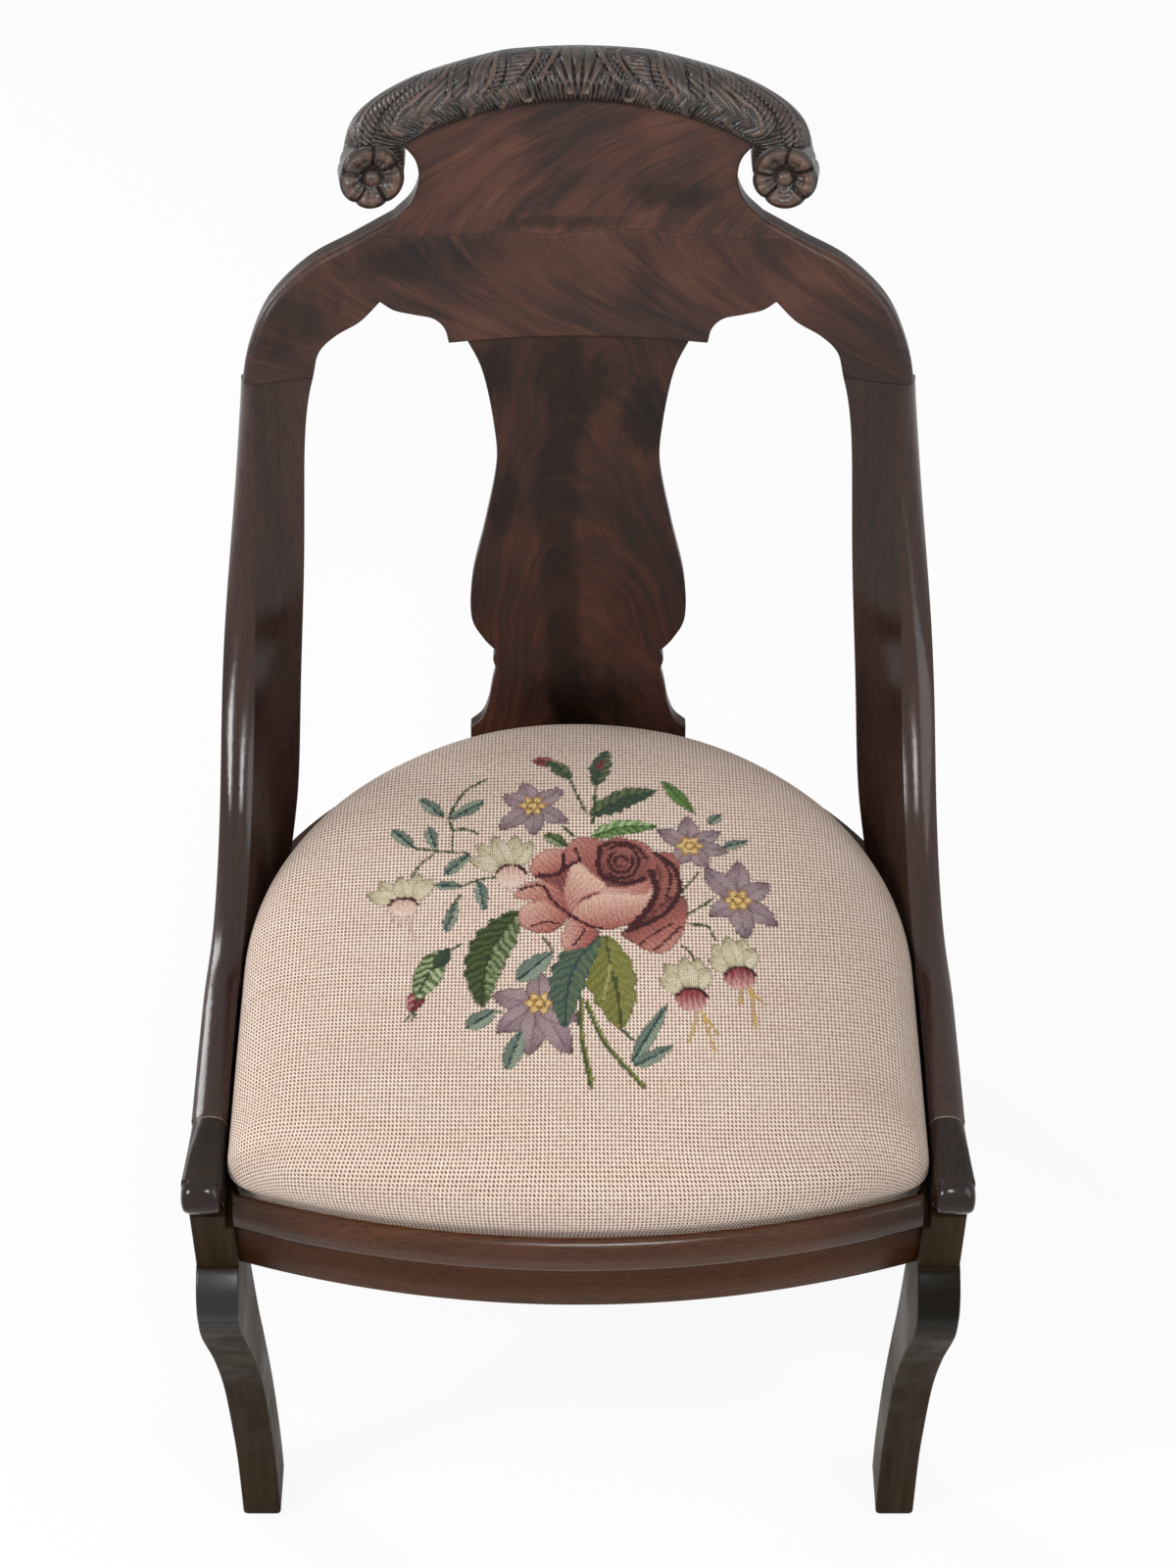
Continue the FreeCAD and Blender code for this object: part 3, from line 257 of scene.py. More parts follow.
class Nodes:
    """The node tree of a new material or world, with one short call for each kind of node."""

    def __init__(self, name, kind="materials"):
        self.owner = getattr(bpy.data, kind).new(name)
        self.owner.use_nodes = True
        self.tree = self.owner.node_tree

    def node(self, kind, inputs=(), **settings):
        node = self.tree.nodes.new("ShaderNode" + kind)
        for name, value in settings.items():
            setattr(node, name, value)
        for name, value in dict(inputs).items():
            self.feed(node.inputs[name], value)
        return node

    def value(self, kind, inputs=(), output=0, **settings):
        return Value(self, self.node(kind, inputs, **settings).outputs[output])

    def feed(self, socket, value):
        """Link a value to a socket, or set the socket to a plain number or colour."""
        if isinstance(value, Value):
            self.tree.links.new(value.socket, socket)
        elif socket.type == "RGBA":
            socket.default_value = (*value, 1.0)
        else:
            socket.default_value = value

    def maths(self, operation, *values):
        return self.value("Math", enumerate(values), operation=operation)

    def place(self, flat):
        """Places in metres: across and along from the flat layer, or in the part's frame."""
        return self.value("UVMap", uv_map="plane") if flat else self.value("TexCoord", output="Object")

    def split(self, place):
        return [Value(self, socket) for socket in self.node("SeparateXYZ", {"Vector": place}).outputs]

    def noise(self, place, scales, detail=3.0, rough=0.55, warp=0.0):
        """Noise with its own scale along each axis, in cycles a metre."""
        mapped = self.value("Mapping", {"Vector": place, "Scale": scales})
        inputs = {"Vector": mapped, "Scale": 1.0, "Detail": detail, "Roughness": rough, "Distortion": warp}
        return self.value("TexNoise", inputs, "Fac")

    def ramp(self, value, *stops):
        node = self.node("ValToRGB", {"Fac": value})
        while len(node.color_ramp.elements) < len(stops):
            node.color_ramp.elements.new(0.5)
        for element, (at, colour) in zip(node.color_ramp.elements, stops):
            element.position = at
            element.color = (*colour, 1.0)
        return Value(self, node.outputs["Color"])

    def mix(self, share, first, second, blend="MIX"):
        return self.value("Mix", {0: share, 6: first, 7: second}, 2, data_type="RGBA", blend_type=blend)

    def shaded(self, colour, share):
        return self.mix(1.0, colour, share, "MULTIPLY")

    def between(self, value, low, high, to_low=0.0, to_high=1.0):
        inputs = {"Value": value, "From Min": low, "From Max": high, "To Min": to_low, "To Max": to_high}
        return self.value("MapRange", inputs, interpolation_type="SMOOTHSTEP")

    def bump(self, height, distance, strength=1.0, **others):
        return self.value("Bump", {"Height": height, "Distance": distance, "Strength": strength, **others})

    def seen(self):
        """1 for rays from the camera and for those that gloss or glass sends on, 0 for light."""
        path = self.node("LightPath")
        share = Value(self, path.outputs["Is Camera Ray"])
        for kind in ("Is Glossy Ray", "Is Transmission Ray"):
            share = self.maths("MAXIMUM", share, Value(self, path.outputs[kind]))
        return share

    def surface(self, **sockets):
        shader = self.tree.nodes["Principled BSDF"]
        for name, value in sockets.items():
            self.feed(shader.inputs[name.replace("_", " ")], value)
        return self.owner


GRAIN = {"x": (6, 130, 130), "y": (130, 6, 130), "z": (130, 130, 6), "sweep": (150, 9, 9)}
DUSKY = (0.020, 0.009, 0.007), (0.052, 0.021, 0.013)
# Way of the grain, dark and light tone, gloss, share of the roughness, rounding of edges, start of the
# darkening towards both ends
WOODS = {
    "rail": ("x", *DUSKY, 0.2, 1.0, 1.2, None),
    "side": ("y", *DUSKY, 0.2, 1.0, 1.2, None),
    "sweep": ("sweep", *DUSKY, 0.34, 0.55, 1.2, None),
    "leg": ("z", (0.020, 0.013, 0.008), (0.044, 0.029, 0.018), 0.1, 1.7, 1.2, None),
    "board_edge": ("sweep", (0.014, 0.008, 0.006), (0.036, 0.015, 0.010), 0.06, 1.0, 1.2, None),
    "arm_end": ("y", (0.013, 0.009, 0.006), (0.034, 0.020, 0.013), 0.2, 1.0, 1.2, None),
    "nose": ("x", (0.008, 0.005, 0.004), (0.030, 0.012, 0.008), 0.3, 0.36, 1.2, None),
    "front": ("x", (0.054, 0.017, 0.005), (0.104, 0.037, 0.013), 0.05, 1.0, 0.3, 135.0),
    "bead": ("x", (0.044, 0.014, 0.006), (0.104, 0.037, 0.014), 0.26, 0.55, 0.3, 130.0),
    # Painted light: the inner sides of the front legs, matte and lighter, as if lit
    "painted_light_side": ("z", (0.050, 0.038, 0.026), (0.088, 0.070, 0.050), 0.05, 1.8, 1.2, None),
}
DARKENING_REACH = 70.0
PORE_DEPTH = 0.04


def varnished(nodes, colour, roughness, pores, gloss, soften=1.2):
    """The finish that all the polished wood shares: soft edges, open pores and an old, thin polish."""
    edge = nodes.value("Bevel", {"Radius": soften * MM}, samples=4)
    bump = nodes.bump(pores, PORE_DEPTH * MM, 0.6, Normal=edge)
    return nodes.surface(Base_Color=colour, Roughness=roughness, Normal=bump, Specular_IOR_Level=gloss)


def mahogany(name):
    """Plain straight-grained mahogany with soft bands, fine streaks and short dark pores."""
    grain, dark, light, gloss, rough, soften, darkened_from = WOODS[name]
    nodes = Nodes("mahogany_" + name)
    place = nodes.place(False)
    scales = np.array(GRAIN[grain], float)
    bands = nodes.noise(place, tuple(scales * 0.35), 4.0, 0.6, 0.6)
    streaks = nodes.noise(place, tuple(scales * 4), 3.0, 0.6)
    pores = nodes.noise(place, tuple(scales * 14), 2.0, 0.5)
    middle = tuple((np.array(dark) + light) / 2)
    colour = nodes.ramp(bands * 0.7 + streaks * 0.3, (0.34, dark), (0.52, middle), (0.68, light))
    colour = nodes.shaded(colour, nodes.between(pores, 0.36, 0.5, 0.55, 1.0))
    # Darker towards both ends of the piece
    if darkened_from:
        ends = darkened_from * MM, (darkened_from + DARKENING_REACH) * MM
        colour = nodes.shaded(colour, nodes.between(abs(nodes.split(place)[0]), *ends, 1.0, 0.4))
    smears = nodes.noise(place, (14, 14, 14), 4.0, 0.6)
    roughness = nodes.between(smears, 0.3, 0.7, 0.24 * rough, 0.36 * rough)
    return varnished(nodes, colour, roughness, pores, gloss, soften)


def figured(nodes, place, line, stops):
    """Figured veneer: plumes and fine feathering along a bent grain, darker clouds and short pores."""
    plumes = nodes.noise(line, (46, 12, 1), 5.0, 0.62, 1.2)
    feather = nodes.noise(line, (280, 34, 1), 4.0, 0.65, 0.3)
    clouds = nodes.noise(place, (13, 13, 1), 2.0, 0.5, 0.5)
    colour = nodes.ramp(plumes * 0.6 + feather * 0.25 + (clouds - 0.42) * 0.55, *stops)
    pores = nodes.noise(line, (1300, 190, 1), 2.0, 0.5)
    colour = nodes.shaded(colour, nodes.between(pores, 0.3, 0.48, 0.62, 1.0))
    smears = nodes.noise(place, (16, 16, 1), 4.0, 0.6)
    return colour, nodes.between(smears, 0.3, 0.7, 0.28, 0.42), pores


SEAM_RISE = 362.0
CREST_BLOTS = (((-104, 345), (36, 13)), ((54, 385), (30, 9)), ((-10, 368), (40, 5)), ((-172, 316), (36, 24)))
SPLAT_BLOTS = (
    ((-54, 268), (15, 26)), ((6, 262), (17, 22)), ((40, 240), (16, 28)), ((-46, 186), (11, 26)),
    ((2, 44), (36, 26)),
)
CREST_STOPS = (
    (0.30, (0.016, 0.009, 0.008)),
    (0.42, (0.046, 0.018, 0.013)),
    (0.54, (0.090, 0.034, 0.021)),
    (0.68, (0.132, 0.054, 0.032)),
)
SPLAT_STOPS = (
    (0.30, (0.014, 0.008, 0.006)),
    (0.45, (0.034, 0.013, 0.009)),
    (0.58, (0.062, 0.022, 0.013)),
    (0.74, (0.104, 0.038, 0.020)),
)


def blots(nodes, place, colour, places, dark):
    """Darken soft patches of a veneer."""
    x, y, _ = nodes.split(place)
    ragged = (nodes.noise(place, (110, 50, 1), 5.0, 0.7) - 0.32) * 3.2
    for (across, rise), (half, tall) in places:
        aside = (x - across * MM) / (half * MM)
        above = (y - rise * MM) / (tall * MM)
        reach = aside * aside + above * above + ragged
        colour = nodes.shaded(colour, nodes.between(reach, 0.5, 2.0, dark, 1.0))
    return colour


def crest_veneer():
    """Two matched sheets: on both sides of the seam the plumes start steep and bend over to the right."""
    nodes = Nodes("crest_veneer")
    place = nodes.place(True)
    across, rise, _ = nodes.split(place)
    wander = (nodes.noise(place, (14, 3, 1), 2.0, 0.5) - 0.5) * 0.02
    off = rise - (wander + SEAM_RISE * MM)
    away = abs(off)
    bend = away * 0.45 + away * away * 13.0
    below = nodes.maths("LESS_THAN", off, 0.0) * 0.31
    line = nodes.value("CombineXYZ", {"X": across - bend + below, "Y": away})
    colour, roughness, pores = figured(nodes, place, line, CREST_STOPS)
    colour = blots(nodes, place, colour, CREST_BLOTS, 0.4)
    colour = nodes.shaded(colour, nodes.between(off, -0.004, 0.0, 0.8, 1.0))
    colour = nodes.shaded(colour, nodes.between(away, 0.0001, 0.0006, 0.55, 1.0))
    return varnished(nodes, colour, roughness, pores, 0.34)


def splat_veneer():
    """A crotch of the tree: a dark core, with the grain falling away from it to both sides."""
    nodes = Nodes("splat_veneer")
    place = nodes.place(True)
    across, rise, _ = nodes.split(place)
    sway = (nodes.noise(place, (2, 9, 1), 2.0, 0.5) - 0.5) * 0.05
    off = across + 0.010 + sway
    fall = off * off * nodes.between(off, -0.012, 0.004, 75.0, 20.0)
    waver = nodes.noise(place, (26, 12, 1), 3.0, 0.6) - 0.5
    line = nodes.value("CombineXYZ", {"X": rise + fall + waver * 0.06, "Y": off})
    colour, roughness, pores = figured(nodes, place, line, SPLAT_STOPS)
    colour = nodes.shaded(colour, nodes.between(abs(off) + waver * 0.04, 0.006, 0.018, 0.42, 1.0))
    colour = blots(nodes, place, colour, SPLAT_BLOTS, 0.34)
    return varnished(nodes, colour, roughness, pores, 0.26)


def carved_wood():
    """Old dark polish in the hollows, worn to red-brown along the ridges."""
    nodes = Nodes("carved_mahogany")
    place = nodes.place(False)
    wear = nodes.noise(place, (120, 120, 120), 4.0, 0.6)
    worn = nodes.value("VertexColor", layer_name="ridge") * nodes.between(wear, 0.34, 0.62, 0.55, 1.0)
    hollow, flank, ridge = (0.009, 0.008, 0.007), (0.034, 0.022, 0.017), (0.105, 0.056, 0.038)
    colour = nodes.ramp(worn, (0.05, hollow), (0.45, flank), (0.95, ridge))
    pores = nodes.noise(place, (1500, 1500, 1500), 2.0, 0.5)
    return varnished(nodes, colour, nodes.between(wear, 0.3, 0.7, 0.22, 0.4), pores, 0.5, 0.25)


# Heights in metres over which the dark of the knee comes in and goes out
KNEE_START = (0.285, 0.325)
KNEE_END = (0.3450, 0.3462)


def leg_wood(name, gloss):
    """Dark, dull wood, with a blacker and glossier knee."""
    nodes = Nodes(name)
    place = nodes.place(False)
    streaks = nodes.noise(place, (130, 130, 6), 4.0, 0.6, 0.5)
    pores = nodes.noise(place, (1800, 1800, 90), 2.0, 0.5)
    height = nodes.split(place)[2]
    knee = nodes.between(height, *KNEE_START) * nodes.between(height, *KNEE_END, 1.0, 0.0)
    colour = nodes.ramp(streaks, (0.35, (0.020, 0.012, 0.0056)), (0.65, (0.036, 0.022, 0.011)))
    colour = nodes.mix(knee, colour, (0.010, 0.008, 0.006))
    smears = nodes.noise(place, (40, 40, 40), 3.0, 0.6)
    dull = nodes.between(smears, 0.3, 0.7, 0.5, 0.68)
    shiny = nodes.between(smears, 0.3, 0.7, 0.24, 0.36)
    return varnished(nodes, colour, dull + knee * (shiny - dull), pores, gloss, 0.4)


def plain_wood(name, dark, light):
    """Unpolished inner wood."""
    nodes = Nodes(name)
    place = nodes.place(False)
    fine = nodes.noise(place, (80, 80, 900), 3.0, 0.6)
    tone = nodes.noise(place, (14, 14, 160), 4.0, 0.6) * 0.7 + fine * 0.3
    colour = nodes.ramp(tone, (0.35, dark), (0.65, light))
    return nodes.surface(Base_Color=colour, Roughness=0.7, Normal=nodes.bump(fine, 0.1 * MM, 0.5))


def woven(name, colour, pitch):
    """A coarse plain weave for the lining under the seat."""
    nodes = Nodes(name)
    place = nodes.place(False)
    x, y, _ = nodes.split(place)
    turns = 2 * math.pi / (pitch * MM)
    height = nodes.between(nodes.maths("SINE", x * turns) * nodes.maths("SINE", y * turns), -1.0, 1.0)
    # Painted shade: the low parts of the weave darker, down to 0.45 of the colour, mixed with a random tone
    shade = height * 0.5 + nodes.noise(place, (300, 40, 300), 3.0, 0.6) * 0.5
    tint = nodes.ramp(shade, (0.2, tuple(part * 0.45 for part in colour)), (0.8, colour))
    return nodes.surface(Base_Color=tint, Roughness=0.95, Normal=nodes.bump(height, 0.4 * MM))


def metal(name, colour):
    nodes = Nodes(name)
    wear = nodes.noise(nodes.place(False), (400, 400, 400), 3.0, 0.6)
    tint = nodes.ramp(wear, (0.3, tuple(part * 0.6 for part in colour)), (0.7, colour))
    return nodes.surface(Base_Color=tint, Metallic=1.0, Roughness=nodes.between(wear, 0.3, 0.7, 0.3, 0.55))


STITCH_WIDTH = 2.22
STITCH_LENGTH = 2.68
PETIT_POINT = 1.2
WOOL_STOPS = ((0.34, (0.74, 0.56, 0.46)), (0.5, (0.82, 0.66, 0.55)), (0.66, (0.86, 0.73, 0.615)))


def needlepoint():
    """Slanted wool stitches on a brown canvas, with the finer stitches of the bouquet over them."""
    nodes = Nodes("needlepoint")
    place = nodes.place(True)
    x, y, _ = nodes.split(place)

    def gaps(width, length, half_long, half_short):
        """The canvas that shows between stitches: small slanted marks where four of them meet."""
        across = nodes.maths("FRACT", x / (width * MM)) - 0.5
        along = nodes.maths("FRACT", y / (length * MM)) - 0.5
        first = (across * 0.6 - along * 0.8) / half_long
        second = (along * 0.6 + across * 0.8) / half_short
        return nodes.between(first * first + second * second, 0.35, 1.35)

    coarse = gaps(STITCH_WIDTH, STITCH_LENGTH, 0.46, 0.27)
    fine = gaps(PETIT_POINT, PETIT_POINT, 0.34, 0.22)
    flecks = nodes.noise(place, (430, 380, 1), 1.0, 0.5)
    shade = nodes.noise(place, (14, 60, 1), 3.0, 0.55) * 0.35 + flecks * 0.65
    wool = nodes.ramp(shade, *WOOL_STOPS)
    # Painted shade: the wool darker towards the back and towards the right-hand side
    back_shade = nodes.between(y, 0.24, 0.38, 1.0, 0.6)
    right_side_shade = nodes.between(x, 0.05, 0.2, 1.0, 0.78)
    bare = nodes.ramp(flecks, (0.35, (0.15, 0.095, 0.075)), (0.65, (0.30, 0.20, 0.16)))
    ground = nodes.mix(coarse, bare, nodes.shaded(wool, back_shade * right_side_shade))
    paint = nodes.node("VertexColor", layer_name="bouquet")
    dye, cover = Value(nodes, paint.outputs["Color"]), Value(nodes, paint.outputs["Alpha"])
    speckle = nodes.between(nodes.noise(place, (700, 700, 1), 2.0, 0.5), 0.3, 0.7, 0.78, 1.12)
    # The gaps between the bouquet's fine stitches go nearly black: the canvas there, darkened further as
    # painted shade
    deep = nodes.between(fine, 0.0, 1.0, 0.66, 0.0)
    thread = nodes.mix(deep, nodes.shaded(dye, speckle), (0.05, 0.035, 0.025))
    colour = nodes.mix(cover, ground, thread)
    height = coarse * (1.0 - cover) + fine * (cover * 0.5)
    bump = nodes.bump(height, 0.6 * MM, 0.7)
    fibre = {"Roughness": 0.92, "Specular_IOR_Level": 0.12, "Sheen_Weight": 0.1}
    return nodes.surface(Base_Color=colour, Normal=bump, **fibre)


# Bouquet: petals, leaves and stems drawn by formula on the stitch grid, in millimetres across and back


def linear(*parts):
    """A colour written as screen values, as the renderer wants it."""
    return np.array([((part / 255 + 0.055) / 1.055) ** 2.4 for part in parts])


TONES = {
    "pine": ((34, 60, 62), (100, 116, 104), (150, 162, 142)),
    "moss": ((44, 56, 30), (78, 96, 50), (184, 196, 156)),
    "fern": ((40, 56, 44), (62, 84, 62), (132, 130, 72)),
    "grass": ((58, 84, 40), (92, 130, 62), (178, 196, 150)),
    "teal": ((40, 62, 62), (82, 104, 84), (126, 126, 74)),
    "olive": ((70, 76, 38), (124, 124, 60), (158, 156, 98)),
    "lilac": ((76, 54, 62), (132, 109, 115), (176, 155, 157)),
    "rose": ((58, 19, 25), (174, 104, 95), (232, 195, 175)),
    "cream": ((128, 118, 88), (188, 176, 142), (222, 212, 186)),
    "wine": ((76, 26, 36), (142, 58, 66), (220, 170, 160)),
    "blush": ((150, 96, 88), (220, 186, 170), (238, 216, 200)),
    "gold": ((128, 84, 40), (206, 166, 92), (236, 208, 144)),
}
INK = {name: [linear(*tone) for tone in tones] for name, tones in TONES.items()}
DARK_RED = linear(64, 24, 30)
STEM = linear(64, 80, 46)
PETAL_STEPS = 8
VEIN_PITCH = 6.0


class Canvas:
    """Colours laid over points on a stitch grid, each motif over the ones before it."""

    def __init__(self, across, back):
        self.x = np.round(across / PETIT_POINT) * PETIT_POINT
        self.y = np.round(back / PETIT_POINT) * PETIT_POINT
        self.colour = np.zeros((len(across), 3))
        self.cover = np.zeros(len(across))
        waves = np.sin(self.x * 2.9 + np.sin(self.y * 1.7) * 2) * np.sin(self.y * 2.3 + np.cos(self.x * 1.3))
        self.grain = waves * 0.5 + 0.5

    def near(self, points, margin):
        """The points of the canvas around some places."""
        low = np.min(points, axis=0) - margin
        high = np.max(points, axis=0) + margin
        return np.nonzero((self.x > low[0]) & (self.x < high[0]) & (self.y > low[1]) & (self.y < high[1]))[0]

    def along(self, line, margin):
        """The points around a line, with their share along it, their distance and their side."""
        rows = self.near(line, margin)
        return rows, *beside(line, self.x[rows], self.y[rows])

    def lay(self, rows, colour):
        self.colour[rows] = colour
        self.cover[rows] = 1.0

    def shade(self, rows, ink, tone):
        """Lay an ink from its dark, at 0, by its middle to its light, at 1, with a little wool grain."""
        dark, middle, light = INK[ink]
        tone = np.clip(tone + (self.grain[rows] - 0.5) * 0.16, 0, 1)[:, None] * 2
        low = dark + (middle - dark) * np.clip(tone, 0, 1)
        self.lay(rows, low + (light - middle) * np.clip(tone - 1, 0, 1))

    def stem(self, points, width, colour):
        rows, _, reach, _ = self.along(points, width + 1)
        self.lay(rows[reach < width], colour)

    def leaf(self, rib, left, right, ink, left_tone, right_tone, veins=0.0, teeth=0):
        """A leaf along its rib: a tone for each half, veins across both and a dark middle line."""
        rows, share, reach, side = self.along(rib, max(left, right) + 2)
        width = np.where(side > 0, left, right) * np.sin(np.pi * np.clip(share, 0, 1) ** 0.85) ** 0.7
        if teeth:
            width = width * (0.84 + 0.16 * np.abs(np.sin(share * np.pi * teeth)))
        inside = (reach < width) & (share > 0.001) & (share < 0.999)
        length = travelled(np.array(rib, float))[-1]
        wander = 1.3 * np.sin(self.x[rows] * 0.55) * np.sin(self.y[rows] * 0.4 + 1)
        stripes = np.cos((share * length - reach * 0.9 + wander) * 2 * np.pi / VEIN_PITCH)
        tone = np.where(side > 0, left_tone, right_tone) + veins * stripes
        tone = np.where(reach > width - PETIT_POINT * 0.8, tone - 0.18, tone)
        tone = np.where(reach < PETIT_POINT * 0.6, 0.0, tone)
        self.shade(rows[inside], ink, tone[inside])

    def petal(self, centre, tip, half, ink, low=0.35, high=0.85):
        """One pointed petal: darker at its foot, along its edge and its middle line."""
        rows, share, reach, side = self.along((centre, tip), half + 2)
        width = half * np.sin(np.pi * np.clip(share * 0.86 + 0.14, 0, 1) ** 1.1) ** 0.75
        inside = (reach < width) & (share < 0.999)
        tone = low + (high - low) * np.sin(np.pi * np.clip(share, 0, 1)) - 0.12 * (side > 0)
        tone = np.where(reach > width - PETIT_POINT * 0.9, tone - 0.35, tone)
        tone = np.where((reach < PETIT_POINT * 0.5) & (share < 0.8), tone - 0.3, tone)
        self.shade(rows[inside], ink, tone[inside])

    def star_flower(self, centre, tips, half):
        for tip in tips:
            self.petal(centre, tip, half, "lilac")
        rows = self.near((centre, centre), 12)
        dx, dy = self.x[rows] - centre[0], self.y[rows] - centre[1]
        reach = np.hypot(dx, dy)
        eye = 7.4 + 1.5 * np.cos(np.arctan2(dy, dx) * 6)
        tone = np.where(reach > eye - 1.5, 0.2, 0.85)
        tone = np.where(np.abs(reach - 3.2) < 0.9, 0.12, tone)
        inside = reach < eye
        self.shade(rows[inside], "gold", tone[inside])

    def patch(self, points, ink, low, high, lit, rim=0.2, streaks=0.0):
        """A petal inside a closed line, lighter one way, with a darker rim and streaks along that way."""
        ring = np.array(points, float)
        outline = flowing(np.vstack([ring[-1:], ring, ring[:2]]), (len(ring) + 2) * PETAL_STEPS)
        outline = outline[PETAL_STEPS:-PETAL_STEPS]
        rows = self.near(ring, 2)
        places = np.column_stack([self.x[rows], self.y[rows]])
        rows = rows[inside_outline(outline, places)]
        places = np.column_stack([self.x[rows], self.y[rows]])
        way = np.array(lit, float) / np.linalg.norm(lit)
        run = places @ way
        ends = outline @ way
        tone = low + (high - low) * np.clip((run - ends.min()) / (ends.max() - ends.min()), 0, 1)
        gap, _ = edge_distance(outline, np.zeros(len(outline)), places)
        tone = tone - rim * (gap < PETIT_POINT)
        tone = tone + streaks * np.sin((places @ np.array((-way[1], way[0]))) * 1.9 + 0.7 * np.sin(run * 0.5))
        self.shade(rows, ink, tone)

    def bell(self, cup, sepals, foot, threads, sepal_ink, cup_ink, thread_ink):
        """A hanging bell flower: sepals, a dark-edged cup and stamens like threads."""
        left, top, right = sepals
        for points in threads:
            self.stem(points, 0.8, INK[thread_ink][1])
        base = (cup[0], cup[1] - 2)
        near_left = np.add(left, top) / 2 + (-3, 3)
        near_right = np.add(right, top) / 2 + (2, 3)
        for tip in (near_left, near_right, left, right, top):
            self.petal(base, tip, 6.4, sepal_ink, 0.3, 0.95)
        reach = (cup[1] - foot[1]) * 0.62
        middle = np.add(cup, foot) / 2
        ring = oval(middle, 9, reach, np.linspace(0, 2 * np.pi, 10, endpoint=False))
        self.patch(ring, cup_ink, 0.95, 0.3, (0.0, 1.0), 0.0, 0.15)
        arch = oval(middle, 9, reach, np.linspace(0.25, 2.9, 7))
        self.stem(arch, 1.1, DARK_RED)


# The rose, first the ground between its petals: two tones, the way from one to the other, and the outline
ROSE_PETALS = (
    (
        0.12, 0.3, (-0.3, 0.8), (-9, 187), (-20, 200), (-22, 214), (-14, 229), (-2, 240), (14, 244),
        (36, 241), (50, 236), (57, 220), (53, 200), (42, 188), (21, 177), (2, 181),
    ),
    (
        0.4, 0.8, (-0.6, 0.8), (-29, 221), (-27, 232), (-19, 240), (-9, 240), (-8, 232), (-10, 223),
        (-17, 217), (-24, 215),
    ),
    (
        0.25, 0.6, (-0.4, 0.5), (-8, 225), (-9, 236), (-6, 244), (0, 250), (10, 249), (16, 246), (15, 234),
        (15, 212), (6, 217), (-1, 229),
    ),
    (
        0.05, 0.5, (0.9, 0.2), (45, 234), (54, 238), (60, 232), (62, 221), (62, 204), (56, 197), (47, 188),
        (35, 177), (29, 174), (40, 190), (47, 207), (50, 221),
    ),
    (
        0.18, 0.68, (0.6, -0.8), (25, 172), (34, 177), (42, 185), (53, 199), (63, 202), (66, 194),
        (64, 181), (60, 168), (52, 158), (42, 158), (33, 164),
    ),
    (
        0.3, 0.8, (-0.8, 0.1), (-10, 162), (-9, 175), (-4, 183), (5, 179), (13, 174), (11, 168), (5, 162),
        (-3, 159),
    ),
    (
        0.3, 0.75, (-0.7, 0.6), (-39, 201), (-33, 210), (-24, 214), (-13, 210), (-6, 196), (-5, 186),
        (-17, 196), (-27, 198),
    ),
    (
        0.42, 0.85, (-0.5, 0.5), (-36, 185), (-32, 195), (-20, 198), (-10, 190), (-5, 186), (-10, 178),
        (-18, 172), (-26, 173), (-33, 178),
    ),
    (
        0.15, 0.42, (0.3, 0.8), (13, 242), (23, 250), (35, 246), (43, 239), (44, 225), (39, 216), (31, 211),
        (21, 213), (14, 217), (13, 232),
    ),
    (
        0.3, 0.55, (0.2, 0.9), (31, 248), (41, 245), (47, 234), (47, 221), (41, 213), (33, 210), (40, 219),
        (43, 230), (39, 240),
    ),
    (
        0.5, 0.85, (-0.9, 0.2), (15, 210), (26, 209), (38, 213), (47, 220), (48, 211), (43, 203), (26, 202),
        (13, 203),
    ),
    (
        0.5, 1.0, (0.5, 0.6), (-9, 205), (-7, 216), (-4, 228), (0, 229), (8, 221), (17, 210), (11, 205),
        (3, 200), (-2, 191), (-5, 186), (-8, 194),
    ),
    (
        0.4, 1.05, (-0.1, 0.9), (-5, 186), (2, 197), (13, 204), (26, 205), (39, 203), (46, 210), (48, 206),
        (42, 191), (33, 181), (21, 175), (12, 176), (2, 180),
    ),
)
ROSE_CREASES = (
    (1.0, (-35, 207), (-22, 210), (-15, 198), (-6, 188), (6, 178), (14, 176)),
    (1.7, (47, 237), (58, 225), (61, 208), (55, 192), (44, 182), (29, 174)),
    (2.2, (44, 222), (47, 206), (41, 190), (31, 177)), (0.9, (52, 231), (56, 216), (53, 200)),
    (1.6, (-24, 218), (-12, 220), (-8, 227)), (1.4, (-9, 236), (-8, 225), (-2, 229)),
    (0.9, (-2, 241), (0, 235), (1, 229)), (1.7, (13, 242), (13, 222), (22, 214), (31, 213), (40, 216)),
    (1.2, (13, 242), (24, 246), (35, 242), (42, 232)), (0.8, (36, 163), (45, 172), (56, 180)),
    (0.8, (45, 160), (54, 169), (61, 178)), (0.7, (-28, 178), (-20, 181), (-12, 180)),
    (0.7, (-3, 163), (1, 169), (4, 175)),
)
HEART = (26, 230)
HEART_RINGS = ((0.3, 3.6), (2.2, 7.2), (4.0, 10.8))
STAR_FLOWERS = (
    ((-23, 119), ((-51, 125), (-47, 97), (-29, 80), (-4, 81), (0, 106), (-22, 142)), 8.5),
    ((-28, 277), ((-34, 298), (-9, 291), (-6, 261), (-27, 251), (-49, 256), (-47, 286)), 6.6),
    ((68, 243), ((67, 269), (87, 256), (92, 238), (79, 224), (57, 226), (49, 257)), 6.4),
    ((96, 199), ((97, 231), (116, 213), (119, 180), (100, 169), (79, 186), (76, 225)), 7.4),
)
